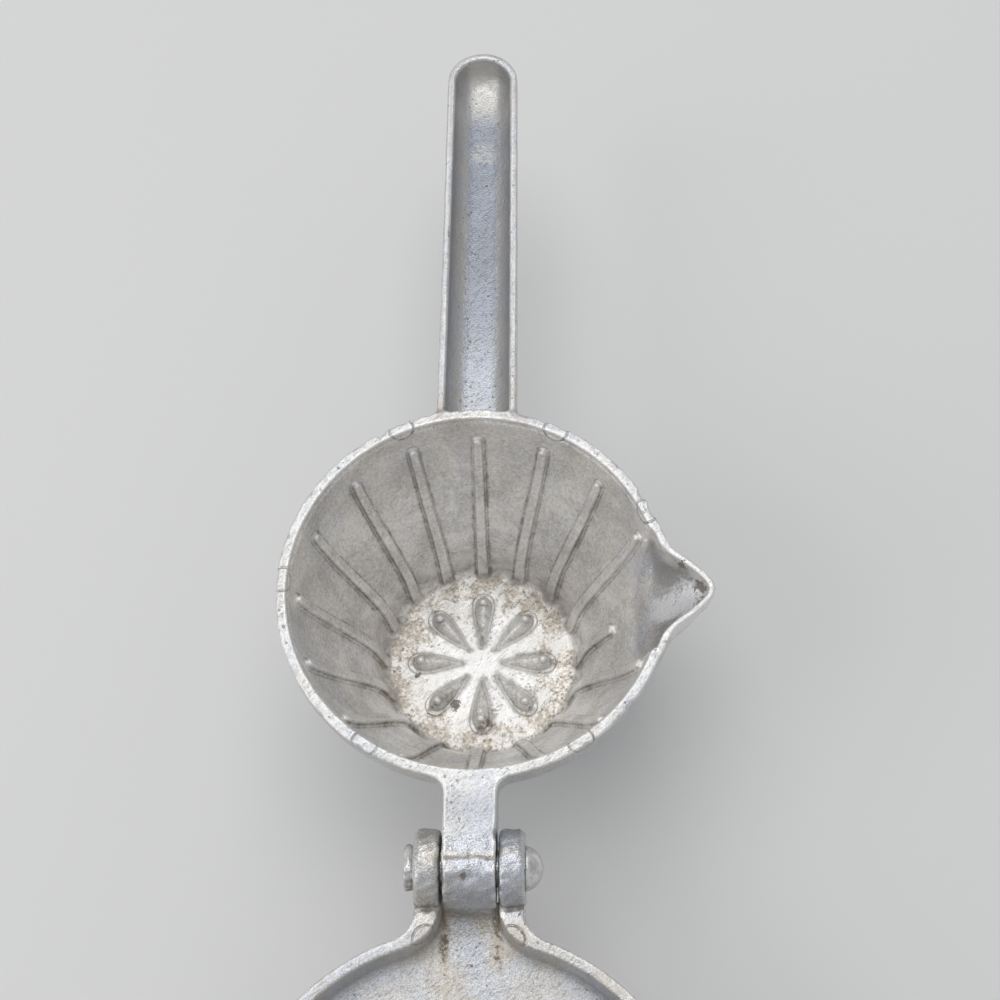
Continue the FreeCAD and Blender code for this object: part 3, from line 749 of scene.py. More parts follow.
def mesh_of(name, vertices, faces):
    """A mesh from millimetre points and equal-sided faces."""
    mesh = bpy.data.meshes.new(name)
    sides = faces.shape[1]
    mesh.vertices.add(len(vertices))
    mesh.vertices.foreach_set("co", (vertices / MM).astype(np.float32).ravel())
    mesh.loops.add(faces.size)
    mesh.loops.foreach_set("vertex_index", faces.astype(np.int32).ravel())
    mesh.polygons.add(len(faces))
    mesh.polygons.foreach_set("loop_start", np.arange(0, faces.size, sides, dtype=np.int32))
    mesh.update(calc_edges=True)
    mesh.validate()
    return mesh


def shade_smooth(mesh):
    mesh.polygons.foreach_set("use_smooth", np.ones(len(mesh.polygons), dtype=bool))


def link(name, mesh, material):
    piece = bpy.data.objects.new(name, mesh)
    bpy.context.collection.objects.link(piece)
    mesh.materials.clear()
    mesh.materials.append(material)
    shade_smooth(mesh)
    return piece


def applied(piece):
    """The piece with its modifiers worked into a plain mesh."""
    graph = bpy.context.evaluated_depsgraph_get()
    mesh = bpy.data.meshes.new_from_object(piece.evaluated_get(graph))
    piece.modifiers.clear()
    piece.data = mesh
    return piece


def set_attribute(mesh, name, values):
    attribute = mesh.attributes.get(name) or mesh.attributes.new(name, "FLOAT", "POINT")
    attribute.data.foreach_set("value", np.asarray(values, dtype=np.float32))


def vertex_points(mesh):
    points = np.empty(len(mesh.vertices) * 3, dtype=np.float32)
    mesh.vertices.foreach_get("co", points)
    return points.reshape(-1, 3).astype(float) * MM


def mark_shelter_and_edges(mesh, shape, extra=None):
    """Store on each vertex how sheltered it is, how much it stands out and faces up; the finish paints dirt
    and painted shade from the first, wear and painted highlight from the second.
    """
    points = vertex_points(mesh)
    normals, _ = slope_of(shape, points)
    with_all = extra or shape
    near = with_all(*(points + normals * 0.8).T) / 0.8
    far = with_all(*(points + normals * 2.4).T) / 2.4
    set_attribute(mesh, "sheltered", np.clip(1 - near, 0, 1) * 0.65 + np.clip(1 - far, 0, 1) * 0.35)
    set_attribute(mesh, "stands_out", np.clip(1 + shape(*(points - normals * 0.9).T) / 0.9, 0, 1))
    set_attribute(mesh, "faces_up", normals[:, 2])


def casting(name, shape, low, high, material, spacing=None, triangles=CASTING_TRIANGLES, shelter_shape=None):
    """A closed mesh of the shape, thinned where it is plain."""
    stage = bpy.context.scene.squeezer_stage
    grain = spacing or (stage.grain) * MM
    low = np.array(low, dtype=float) - 2.5 * grain
    counts = np.ceil((np.array(high) + 2.5 * grain - low) / grain).astype(int) + 1
    values = block_values(shape, low, counts, grain)
    vertices, quads = net_of(values, low, grain)
    vertices, _ = settle(shape, vertices)
    piece = link(name, mesh_of(name, vertices, quads), material)
    if len(quads) * 2 > triangles:
        thin = piece.modifiers.new("thin", "DECIMATE")
        thin.ratio = triangles / (len(quads) * 2)
        applied(piece)
    points, _ = settle(shape, vertex_points(piece.data))
    piece.data.vertices.foreach_set("co", (points / MM).astype(np.float32).ravel())
    piece.data.update()
    shade_smooth(piece.data)
    mark_shelter_and_edges(piece.data, shape, shelter_shape)
    return piece


# Repeating pieces with Geometry Nodes


def ring_tree():
    """A node tree that sets copies of its input mesh round the upright axis."""
    tree = bpy.data.node_groups.new("Set round the bowl", "GeometryNodeTree")
    face = tree.interface
    face.new_socket("Geometry", in_out="INPUT", socket_type="NodeSocketGeometry")
    sockets = {
        "Count": face.new_socket("Count", in_out="INPUT", socket_type="NodeSocketInt"),
        "Left out": face.new_socket("Left out", in_out="INPUT", socket_type="NodeSocketInt"),
        "Uneven turn": face.new_socket("Uneven turn", in_out="INPUT", socket_type="NodeSocketFloat"),
        "Uneven height": face.new_socket("Uneven height", in_out="INPUT", socket_type="NodeSocketFloat"),
        "Seed": face.new_socket("Seed", in_out="INPUT", socket_type="NodeSocketInt"),
        "Finish": face.new_socket("Finish", in_out="INPUT", socket_type="NodeSocketMaterial"),
    }
    face.new_socket("Geometry", in_out="OUTPUT", socket_type="NodeSocketGeometry")
    nodes = Nodes(tree)
    given = nodes.add("NodeGroupInput").outputs
    line = {"Count": given["Count"], "Offset": (0, 0, 0)}
    places = nodes.add("GeometryNodeMeshLine", line).outputs["Mesh"]
    number = nodes.add("GeometryNodeInputIndex").outputs["Index"]
    pair = {2: number, 3: given["Left out"]}
    test = nodes.add("FunctionNodeCompare", pair, data_type="INT", operation="GREATER_EQUAL")
    wanted = test.outputs["Result"]
    step = nodes.math("DIVIDE", 2 * math.pi, given["Count"])
    least = nodes.math("MULTIPLY", given["Uneven turn"], -1)
    draw = {2: least, 3: given["Uneven turn"], "ID": number, "Seed": given["Seed"]}
    drift = nodes.add("FunctionNodeRandomValue", draw).outputs[1]
    turn = nodes.math("ADD", nodes.math("MULTIPLY", step, number), drift)
    rotation = nodes.add("ShaderNodeCombineXYZ", {"Z": turn}).outputs["Vector"]
    lowest = nodes.math("SUBTRACT", 1, given["Uneven height"])
    draw = {2: lowest, 3: 1, "ID": number, "Seed": given["Seed"]}
    tall = nodes.add("FunctionNodeRandomValue", draw).outputs[1]
    scale = nodes.add("ShaderNodeCombineXYZ", {"X": 1, "Y": 1, "Z": tall}).outputs["Vector"]
    spread = {
        "Points": places,
        "Selection": wanted,
        "Instance": given["Geometry"],
        "Rotation": rotation,
        "Scale": scale,
    }
    copies = nodes.add("GeometryNodeInstanceOnPoints", spread).outputs["Instances"]
    solid = nodes.add("GeometryNodeRealizeInstances", {"Geometry": copies}).outputs["Geometry"]
    finished = nodes.add("GeometryNodeSetMaterial", {"Geometry": solid, "Material": given["Finish"]})
    nodes.add("NodeGroupOutput", {"Geometry": finished.outputs["Geometry"]})
    return tree, {name: socket.identifier for name, socket in sockets.items()}


def set_round(piece, count, left_out, uneven_turn, seed, finish):
    """Replace a piece by a ring of its copies; uneven_turn is in radians."""
    values = {
        "Count": count,
        "Left out": left_out,
        "Uneven turn": uneven_turn,
        "Uneven height": 0.0,
        "Seed": seed,
        "Finish": finish,
    }
    tree, identifiers = ring_tree()
    modifier = piece.modifiers.new("ring", "NODES")
    modifier.node_group = tree
    for name, value in values.items():
        modifier[identifiers[name]] = value
    applied(piece)
    bpy.data.node_groups.remove(tree)
    shade_smooth(piece.data)


# Finishes


class Nodes:
    """Adds nodes to a tree, with their settings and links given in one line."""

    def __init__(self, tree):
        self.tree = tree
        tree.nodes.clear()

    def add(self, kind, values=(), **settings):
        node = self.tree.nodes.new(kind)
        for name, value in settings.items():
            setattr(node, name, value)
        for name, value in dict(values).items():
            if isinstance(value, bpy.types.NodeSocket):
                self.tree.links.new(value, node.inputs[name])
            else:
                node.inputs[name].default_value = value
        return node

    def math(self, operation, a, b=0.0, clamp=False):
        return self.add("ShaderNodeMath", {0: a, 1: b}, operation=operation, use_clamp=clamp).outputs[0]

    def times(self, value, *others):
        for other in others:
            value = self.math("MULTIPLY", value, other)
        return value

    def plus(self, a, b):
        return self.math("ADD", a, b)

    def minus(self, a, b):
        return self.math("SUBTRACT", a, b)

    def larger(self, a, b):
        return self.math("MAXIMUM", a, b)

    def centred(self, value, gain):
        """How far a noise lies from its middle, times the gain."""
        return self.times(self.minus(value, 0.5), gain)

    def distance(self, where, place):
        values = {0: where, 1: place}
        return self.add("ShaderNodeVectorMath", values, operation="DISTANCE").outputs["Value"]

    def noise(self, where, size, detail=3.0, roughness=0.55, warp=0.0):
        """Cloudy noise with features of about the given size in millimetres."""
        values = {"Vector": where, "Scale": MM / size, "Detail": detail}
        values.update({"Roughness": roughness, "Distortion": warp})
        return self.add("ShaderNodeTexNoise", values).outputs["Fac"]

    def spread(self, value, low, high):
        """0 at low, 1 at high, and smooth between."""
        values = {"Value": value, "From Min": low, "From Max": high}
        return self.add("ShaderNodeMapRange", values, interpolation_type="SMOOTHSTEP").outputs["Result"]

    def spread_mm(self, value, low, high):
        """The same for a length, with low and high in millimetres."""
        return self.spread(value, low / MM, high / MM)

    def shaded(self, colour, tone):
        """The colour made lighter or darker by the tone."""
        grey = self.add("ShaderNodeCombineColor", {0: tone, 1: tone, 2: tone}).outputs[0]
        return self.mix(1.0, colour, grey, "MULTIPLY")

    def mix(self, share, a, b, blend="MIX"):
        """Two colours mixed."""
        node = self.add("ShaderNodeMix", {0: share}, data_type="RGBA", blend_type=blend)
        for number, value in ((6, a), (7, b)):
            if isinstance(value, bpy.types.NodeSocket):
                self.tree.links.new(value, node.inputs[number])
            else:
                node.inputs[number].default_value = (*value, 1) if len(value) == 3 else value
        return node.outputs[2]

    def attribute(self, name):
        return self.add("ShaderNodeAttribute", attribute_name=name).outputs["Fac"]

    def ring_lines(self, where, places, radius):
        """1 on fine circles of the given radius round the places, all in millimetres."""
        lines = 0.0
        for place in places:
            away = self.distance(where, [value / MM for value in place])
            off = self.math("ABSOLUTE", self.minus(away, radius / MM))
            lines = self.larger(self.spread_mm(off, 0.36, 0.02), lines)
        return lines


# Round marks of the ejector pins, on the rim and on the presser's arms, in millimetres
MARK_RADIUS = 2.5
RIM_MIDDLE, RIM_TOP = 37.7, 49
BOWL_MARKS = [
    (RIM_MIDDLE * math.cos(math.radians(turn)), RIM_MIDDLE * math.sin(math.radians(turn)), RIM_TOP)
    for turn in (64.5, 25, 178, 114, -122, -56.5)
]
PRESSER_MARKS = [(-7.85, -67, 41.6), (7.85, -67, 41.6)]

# Old dried juice, and last a painted dark reflection in the knuckle's dent: where each sits, and how far it
# reaches, in millimetres
CRUSTS_AND_DENT_REFLECTION = (
    ((-5.7, -9.6, 3.4), 1.7),
    ((1.6, -13.8, 3.6), 2.2),
    ((-14.2, -3.0, 3.2), 1.0),
    ((45.3, 1.4, 45.4), 3.0),
    ((44.9, -2.2, 45.0), 2.4),
    ((41.5, 4.9, 46.8), 2.0),
    # Painted dark reflection in the knuckle's dent
    ((-0.9, -57.0, 48.3), 1.0),
)

# Places of two single marks, in metres
HANDLE_ROOT = (0.002, 0.0385, 0.049)
PUSHED_PLACE = (0.0004, 0.1085, 0.0418)

# Tones of single places, beside the colours that a user would change
# Floor: near white in the middle, partly scoured metal and partly painted highlight; a warmer tone towards
# its edge
FLOOR_MIDDLE_HIGHLIGHT, FLOOR_EDGE = (0.95, 0.945, 0.93), (0.91, 0.885, 0.84)
# Spout's channel: darker sides, and a painted highlight down its middle
SPOUT_DARK, SPOUT_HIGHLIGHT = (0.34, 0.335, 0.335), (0.90, 0.905, 0.93)
# Handle's channel: painted reflection in the middle and at the root, painted highlight at the tip
CHANNEL_REFLECTION_DARK, CHANNEL_REFLECTION_LIGHT = (0.26, 0.29, 0.35), (0.33, 0.36, 0.42)
CHANNEL_ROOT_REFLECTION, CHANNEL_TIP_HIGHLIGHT = (0.52, 0.55, 0.61), (0.80, 0.78, 0.74)
CHANNEL_SIDES, PUSHED_MARK = (0.55, 0.54, 0.53), (0.60, 0.57, 0.51)
TONGUE_TONE, SEAM_TONE = (0.40, 0.42, 0.46), (0.72, 0.66, 0.56)
# Rivet: its tone, its dark hammered end, and its crown's rubbed wear and painted highlight
RIVET_TONE, RIVET_END, RIVET_CROWN_HIGHLIGHT = (0.50, 0.49, 0.44), (0.24, 0.235, 0.22), (0.97, 0.965, 0.95)


def darker(colour, share):
    return tuple(share * value for value in colour)


def cast_aluminium(name, marks, detail):
    """Old cast aluminium: dull grey skin, fine pits, dirt and painted shade in the corners, and edges
    bright from wear and painted highlight.
    """
    grime = tuple(bpy.context.scene.squeezer_finish.grime)
    material = bpy.data.materials.new(name)
    material.use_nodes = True
    nodes = Nodes(material.node_tree)
    where = nodes.add("ShaderNodeTexCoord").outputs["Object"]
    cast = SimpleNamespace(where=where, metal=0.8)
    cast.x, cast.y, cast.z = nodes.add("ShaderNodeSeparateXYZ", {"Vector": where}).outputs
    cast.blotches = nodes.noise(where, 4.5, 5, 0.62, 0.4)
    cast.grain = nodes.noise(where, 0.42, 3, 0.6)
    cast.fine = nodes.noise(where, 0.9, 4, 0.7)
    cast.salt = nodes.noise(where, 0.3, 1, 0.5)
    cast.pits = small_pits(nodes, cast)
    cast.skin = metal_skin(nodes, cast)

    axle = nodes.add("ShaderNodeVectorMath", {0: where, 1: (0, 1, 1)}, operation="MULTIPLY").outputs[0]
    axle = nodes.distance(axle, (0, HINGE["pos_m"][1], HINGE["pos_m"][2]))
    hinge = nodes.spread_mm(axle, 12, 7.6)
    # Dirt and painted shade: darker where a point is sheltered, in patches, and a little more round the
    # hinge
    corner = nodes.plus(nodes.attribute("sheltered"), nodes.centred(cast.blotches, 0.75))
    corner = nodes.plus(corner, nodes.centred(cast.fine, 0.45))
    corner = nodes.plus(corner, nodes.times(hinge, 0.10))
    cast.dirt = nodes.times(nodes.spread(corner, 0.22, 0.62), 0.85)
    cast.rough = nodes.plus(nodes.times(cast.blotches, 0.24), 0.30)
    cast.rough = nodes.minus(cast.rough, nodes.times(hinge, 0.18))
    detail(nodes, cast)

    lines = nodes.ring_lines(where, marks, MARK_RADIUS)
    # Grime colour laid on as dirt and as painted shade
    skin = nodes.mix(nodes.times(cast.dirt, 0.92), cast.skin, grime)
    # Dark rings of the ejector marks: grime and painted shade in their fine grooves
    skin = nodes.mix(nodes.times(lines, nodes.spread(cast.fine, 0.3, 0.75)), skin, grime)
    values = {
        "Base Color": skin,
        "Metallic": nodes.math("SUBTRACT", cast.metal, nodes.times(cast.dirt, 0.7), clamp=True),
        "Roughness": nodes.math("ADD", cast.rough, nodes.times(cast.dirt, 0.4), clamp=True),
        "Normal": cast_bumps(nodes, cast, lines),
    }
    shader = nodes.add("ShaderNodeBsdfPrincipled", values)
    nodes.add("ShaderNodeOutputMaterial", {"Surface": shader.outputs[0]})
    return material


def small_pits(nodes, cast):
    """1 in small round pits, which lie in groups."""
    cells = nodes.add("ShaderNodeTexVoronoi", {"Vector": cast.where, "Scale": MM / 1.3, "Randomness": 1.0})
    zone = nodes.spread(nodes.noise(cast.where, 7, 3, 0.6), 0.46, 0.66)
    return nodes.times(nodes.spread(cells.outputs["Distance"], 0.24, 0.10), zone)


def metal_skin(nodes, cast):
    """Patchy grey with salt, specks and pits, and bright where the metal stands out: worn edges, and
    painted highlight on the rib tops.
    """
    colours = bpy.context.scene.squeezer_finish
    patches = nodes.noise(cast.where, 16, 4, 0.6, 0.6)
    tint = nodes.mix(nodes.spread(patches, 0.38, 0.62), tuple(colours.metal), tuple(colours.cool))
    tone = nodes.plus(nodes.times(cast.blotches, 0.5), 0.66)
    tint = nodes.shaded(tint, nodes.plus(tone, nodes.centred(cast.salt, 0.9)))
    # Lighter where the metal stands out: worn edges, and painted highlight on the rib tops
    worn = nodes.plus(nodes.attribute("stands_out"), nodes.centred(cast.fine, 0.35))
    skin = nodes.mix(nodes.times(nodes.spread(worn, 0.24, 0.5), 0.85), tint, tuple(colours.bright))
    speckle = nodes.times(nodes.spread(cast.grain, 0.56, 0.70), nodes.spread(cast.fine, 0.42, 0.60))
    skin = nodes.mix(nodes.times(speckle, 0.55), skin, darker(colours.metal, 0.45))
    return nodes.mix(nodes.times(cast.pits, 0.55), skin, darker(colours.metal, 0.3))


def cast_bumps(nodes, cast, lines):
    """Fine grain, scratches, pits and marks over a broad unevenness."""
    turned = {"Vector": cast.where, "Rotation": (0.2, 0.1, -0.8), "Scale": (1, 6, 2)}
    brushed = nodes.add("ShaderNodeMapping", turned, vector_type="TEXTURE").outputs[0]
    scratches = nodes.spread(nodes.noise(brushed, 0.36, 2, 0.6), 0.58, 0.70)
    height = nodes.plus(nodes.times(cast.grain, 0.7), nodes.times(cast.fine, 0.8))
    height = nodes.plus(height, nodes.times(cast.salt, 0.4))
    for marks, depth in ((scratches, 0.35), (cast.pits, 1.4), (lines, 1.0)):
        height = nodes.minus(height, nodes.times(marks, depth))
    small = nodes.add("ShaderNodeBump", {"Height": height, "Strength": 0.9, "Distance": 0.14 / MM})
    broad = {"Height": cast.blotches, "Strength": 0.5, "Distance": 0.25 / MM, "Normal": small.outputs[0]}
    return nodes.add("ShaderNodeBump", broad).outputs[0]


def bowl_detail(nodes, cast):
    """What is the bowl's own, from its inside wall to the hinge tongue."""
    flat = nodes.add("ShaderNodeVectorMath", {0: cast.where, 1: (1, 1, 0)}, operation="MULTIPLY").outputs[0]
    cast.radius = nodes.add("ShaderNodeVectorMath", {0: flat}, operation="LENGTH").outputs["Value"]
    cast.speck = nodes.noise(cast.where, 0.7, 3, 0.6)
    cast.soft = nodes.noise(cast.where, 11, 5, 0.62, 0.8)
    for part in (inside_wall, bowl_floor, crusts_and_dent_reflection, rubbed_and_highlit_rim, spout_channel, handle_channel, tongue_top):
        part(nodes, cast)


def inside_wall(nodes, cast):
    """Inside wall, cleaned matt by juice and painted lighter in patches low down as painted light, with
    dirt spots under the rim and at the ribs' feet.
    """
    colours = bpy.context.scene.squeezer_finish
    steep = nodes.minus(cast.radius, nodes.times(cast.z, 0.36))
    cup = nodes.times(nodes.spread_mm(steep, 21.6, 20.8), nodes.spread_mm(cast.z, 48.9, 48.3))
    # Painted light: the lower inside wall painted lighter, and a little shinier, in patches
    painted_light = nodes.times(nodes.spread_mm(cast.z, 40, 20), nodes.spread(cast.soft, 0.42, 0.68))
    cleaned = nodes.mix(nodes.times(cast.fine, 1.3), cast.skin, tuple(colours.inside))
    cleaned = nodes.mix(nodes.times(painted_light, 0.6), cleaned, tuple(colours.bright))
    tone = nodes.plus(nodes.times(cast.soft, 1.2), nodes.times(cast.speck, 1.1))
    cleaned = nodes.shaded(cleaned, nodes.minus(tone, 0.1))
    cast.skin = nodes.mix(nodes.times(cup, 0.85), cast.skin, cleaned)
    cast.rough = nodes.minus(cast.rough, nodes.times(cup, painted_light, 0.1))
    cast.metal = nodes.minus(cast.metal, nodes.times(cup, 0.18))

    patchy = nodes.spread(nodes.noise(cast.where, 2.4, 3, 0.7), 0.36, 0.62)
    rinsed = nodes.times(cup, 0.6, nodes.minus(1.0, patchy))
    cast.dirt = nodes.times(cast.dirt, nodes.minus(1.0, rinsed))
    spots = nodes.times(nodes.spread(cast.speck, 0.60, 0.68), nodes.spread(cast.blotches, 0.5, 0.62))
    under_rim = nodes.times(cup, nodes.spread_mm(cast.z, 38, 46))
    cast.dirt = nodes.larger(cast.dirt, nodes.times(spots, under_rim, 0.8))
    feet = nodes.times(nodes.spread_mm(cast.z, 13, 5), nodes.spread_mm(cast.radius, 17.5, 20.5))
    mottle = nodes.plus(cast.blotches, nodes.times(cast.speck, 0.4))
    feet = nodes.times(feet, nodes.spread(mottle, 0.66, 0.86))
    cast.dirt = nodes.larger(cast.dirt, nodes.times(feet, cup, 0.6))


def bowl_floor(nodes, cast):
    """Floor near white in the middle, partly scoured metal and partly painted highlight, stained brown
    towards its scalloped edge, with painted highlight on the petals' crests.
    """
    colours = bpy.context.scene.squeezer_finish
    bowl = bpy.context.scene.squeezer_bowl
    ground = bowl.floor * MM
    turn = nodes.math("ARCTAN2", cast.y, cast.x)
    ribbed = nodes.math("COSINE", nodes.times(turn, float(bowl.rib_count)))
    scallop = nodes.plus(cast.radius, nodes.times(ribbed, 0.55 / MM))
    scallop = nodes.plus(scallop, nodes.centred(cast.blotches, 2.5 / MM))
    low = nodes.spread_mm(cast.z, ground + 0.6, ground + 0.2)
    above = nodes.spread_mm(cast.z, ground - 1.0, ground - 0.5)
    floor = nodes.times(low, nodes.spread_mm(scallop, 21.0, 20.2), above)

    cloud = nodes.noise(cast.where, 4.0, 8, 0.66, 0.4)
    outward = nodes.spread_mm(cast.radius, 6, 20.5)
    stain = nodes.plus(cloud, nodes.times(outward, 0.2))
    stain = nodes.plus(stain, nodes.centred(cast.speck, 0.36))
    stain = nodes.times(nodes.spread(stain, 0.60, 0.76), floor)
    # Near white in the middle: scoured metal and painted highlight
    bare = nodes.mix(outward, FLOOR_MIDDLE_HIGHLIGHT, FLOOR_EDGE)
    scoured_and_highlit = nodes.mix(nodes.times(floor, 0.92), cast.skin, bare)
    specks = nodes.spread(cast.speck, 0.48, 0.64)
    brown = nodes.mix(specks, tuple(colours.stain), darker(colours.stain, 0.55))
    cast.skin = nodes.mix(nodes.times(stain, 0.8), scoured_and_highlit, brown)
    # Painted highlight on the petals' crests and bosses
    crest_highlight = nodes.spread_mm(cast.z, ground + 2.2, ground + 2.9)
    crest_highlight = nodes.times(crest_highlight, nodes.spread_mm(cast.radius, 16, 15))
    cast.skin = nodes.mix(nodes.times(crest_highlight, 0.85), cast.skin, tuple(colours.bright))
    cast.dirt = nodes.times(cast.dirt, nodes.minus(1.0, nodes.times(floor, 0.5)))


def crusts_and_dent_reflection(nodes, cast):
    """Crusts of old juice, solid with ragged edges; the last place is a painted dark reflection in the
    knuckle's dent.
    """
    for place, reach in CRUSTS_AND_DENT_REFLECTION:
        away = nodes.distance(cast.where, [part / MM for part in place])
        ragged = nodes.centred(cast.fine, 2.6 * reach / MM)
        ragged = nodes.plus(ragged, nodes.centred(cast.blotches, 2.0 * reach / MM))
        near = nodes.spread_mm(nodes.plus(away, ragged), 0.8 * reach, 0.5 * reach)
        cast.dirt = nodes.larger(cast.dirt, nodes.times(near, 0.9))


def rubbed_and_highlit_rim(nodes, cast):
    """Rim painted bright, partly rubbed wear and partly painted highlight, with a stain at the handle's
    root.
    """
    colours = bpy.context.scene.squeezer_finish
    top = bpy.context.scene.squeezer_bowl.height * MM
    rim = nodes.times(nodes.spread_mm(cast.z, top - 0.8, top - 0.3), nodes.spread(cast.fine, 0.35, 0.6))
    rim = nodes.times(rim, nodes.spread_mm(cast.radius, 42, 40))
    # Rim top painted bright: rubbed wear and painted highlight
    cast.skin = nodes.mix(nodes.times(rim, 0.7), cast.skin, tuple(colours.bright))
    root = nodes.spread_mm(nodes.distance(cast.where, HANDLE_ROOT), 16, 7)
    root = nodes.times(root, nodes.spread(cast.blotches, 0.46, 0.6))
    root = nodes.times(root, nodes.spread_mm(cast.z, 47.5, 48.3))
    cast.skin = nodes.mix(nodes.times(root, 0.55), cast.skin, tuple(colours.stain))


def spout_channel(nodes, cast):
    """Painted highlight streaked down the middle of the spout's channel, between darker sides."""
    pour = nodes.times(nodes.spread_mm(cast.x, 34, 38), nodes.spread_mm(cast.z, 48.4, 47.8))
    pour = nodes.times(pour, nodes.spread_mm(nodes.math("ABSOLUTE", cast.y), 14, 12))
    pour = nodes.times(pour, nodes.spread(nodes.attribute("faces_up"), 0.0, 0.2))
    off = nodes.math("ABSOLUTE", nodes.plus(cast.y, 0.2 / MM))
    highlight_streak = nodes.plus(nodes.times(nodes.spread_mm(off, 5.5, 0.0), 0.45), nodes.times(cast.blotches, 0.9))
    highlight_streak = nodes.plus(highlight_streak, nodes.centred(cast.speck, 0.5))
    tone = nodes.mix(nodes.spread(highlight_streak, 0.48, 0.80), SPOUT_DARK, SPOUT_HIGHLIGHT)
    cast.skin = nodes.mix(nodes.times(pour, 0.75), cast.skin, tone)


def handle_channel(nodes, cast):
    """Handle's channel: a cool grey painted reflection in the middle between duller sides, a paler bluish
    painted reflection at its root and a painted highlight at its tip.
    """
    middle = nodes.spread_mm(nodes.math("ABSOLUTE", cast.x), 4.4, 2.6)
    sides = nodes.minus(1.0, middle)
    grip = nodes.times(nodes.spread_mm(cast.y, 39, 41), nodes.spread_mm(cast.z, 47.6, 46.8))
    # Painted reflection of a cool sky down the channel's middle
    tone = nodes.mix(nodes.spread(cast.soft, 0.35, 0.6), CHANNEL_REFLECTION_DARK, CHANNEL_REFLECTION_LIGHT)
    tone = nodes.mix(nodes.spread_mm(cast.y, 72, 46), tone, CHANNEL_ROOT_REFLECTION)
    tone = nodes.mix(nodes.spread_mm(cast.y, 114, 124), tone, CHANNEL_TIP_HIGHLIGHT)
    pushed = nodes.spread_mm(nodes.distance(cast.where, PUSHED_PLACE), 4.0, 2.2)
    pushed = nodes.times(pushed, nodes.spread(cast.fine, 0.35, 0.6))
    tone = nodes.mix(nodes.times(pushed, 0.6), tone, PUSHED_MARK)
    cast.skin = nodes.mix(nodes.times(grip, middle, 0.8), cast.skin, tone)
    cast.skin = nodes.mix(nodes.times(grip, sides, 0.6), cast.skin, CHANNEL_SIDES)
    cast.rough = nodes.minus(cast.rough, nodes.times(grip, 0.06))


def tongue_top(nodes, cast):
    """Hinge tongue, a little darker, with the beige line of its seam."""
    tongue = nodes.spread_mm(cast.y, -41.5, -44)
    cast.skin = nodes.mix(nodes.times(tongue, 0.22), cast.skin, TONGUE_TONE)
    seam = nodes.spread_mm(nodes.math("ABSOLUTE", nodes.plus(cast.y, 53.2 / MM)), 0.75, 0.4)
    seam = nodes.times(seam, nodes.spread_mm(cast.z, 47.6, 48.2))
    cast.skin = nodes.mix(nodes.times(seam, 0.55), cast.skin, SEAM_TONE)
    cast.dirt = nodes.times(cast.dirt, nodes.minus(1.0, nodes.times(seam, 0.6)))


def presser_detail(nodes, cast):
    """Clouded stains, and dirt caught in the corners of the hinge slot."""
    stain = tuple(bpy.context.scene.squeezer_finish.stain)
    cloud = nodes.noise(cast.where, 9.0, 5, 0.65, 1.0)
    cast.skin = nodes.mix(nodes.times(nodes.spread(cloud, 0.5, 0.62), 0.4), cast.skin, stain)
    beside = nodes.math("ABSOLUTE", nodes.minus(nodes.math("ABSOLUTE", cast.x), 5.0 / MM))
    along = nodes.times(nodes.spread_mm(cast.y, -73, -68), nodes.spread_mm(cast.y, -55, -60))
    caught = nodes.times(nodes.spread_mm(beside, 1.5, 0.3), along, nodes.spread_mm(cast.z, 39, 35.5))
    cast.skin = nodes.mix(nodes.times(caught, 0.7), cast.skin, stain)
    caught = nodes.times(caught, nodes.spread(nodes.plus(cast.blotches, cast.fine), 0.95, 1.15))
    cast.dirt = nodes.larger(cast.dirt, nodes.times(caught, 0.85))


def rivet_detail(nodes, cast):
    """A slightly more olive metal, dark on the hammered end, and the head's upper side painted near white:
    rubbed wear and painted highlight.
    """
    cast.skin = nodes.mix(0.3, cast.skin, RIVET_TONE)
    beaten = nodes.times(nodes.spread_mm(cast.x, -9.5, -10.4), nodes.spread(cast.fine, 0.7, 0.35))
    cast.skin = nodes.mix(nodes.times(beaten, 0.75), cast.skin, RIVET_END)
    # Head's upper side painted near white: rubbed wear and painted highlight
    crown = nodes.times(nodes.spread_mm(cast.z, 42, 45), nodes.spread(cast.blotches, 0.35, 0.6))
    cast.skin = nodes.mix(nodes.times(crown, 0.85), cast.skin, RIVET_CROWN_HIGHLIGHT)
    cast.dirt = nodes.larger(cast.dirt, nodes.times(nodes.spread(cast.blotches, 0.56, 0.7), 0.5))
    cast.rough = nodes.minus(cast.rough, 0.1)


def finish_named(name, marks, detail):
    """The finish with this name, made once."""
    return bpy.data.materials.get(name) or cast_aluminium(name, marks, detail)


# The pieces


def build_shape(kind):
    """The bowl's or the presser's shape at the sizes that are set now."""
    scene = bpy.context.scene
    if kind == "bowl":
        return BowlShape(scene.squeezer_bowl, scene.squeezer_handle)
    return PresserShape(scene.squeezer_bowl, scene.squeezer_presser, scene.squeezer_handle)


def named_box(node):
    """Lowest and highest corner of a CAD node's box, in millimetres."""
    low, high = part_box(node)
    return [value * MM for value in low], [value * MM for value in high]


class BuildBowl(bpy.types.Operator):
    """Bowl with its spout, handle and hinge tongue, one casting"""

    bl_idname = "squeezer.bowl"
    bl_label = "Bowl casting"

    def execute(self, context):
        shape = build_shape("bowl")
        finish = finish_named("Bowl aluminium", BOWL_MARKS, bowl_detail)
        piece = casting("bowl", shape, *named_box("bowl_casting"), finish, shelter_shape=shape.with_ribs)
        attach(piece, "bowl")
        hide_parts("bowl_casting")
        return {"FINISHED"}


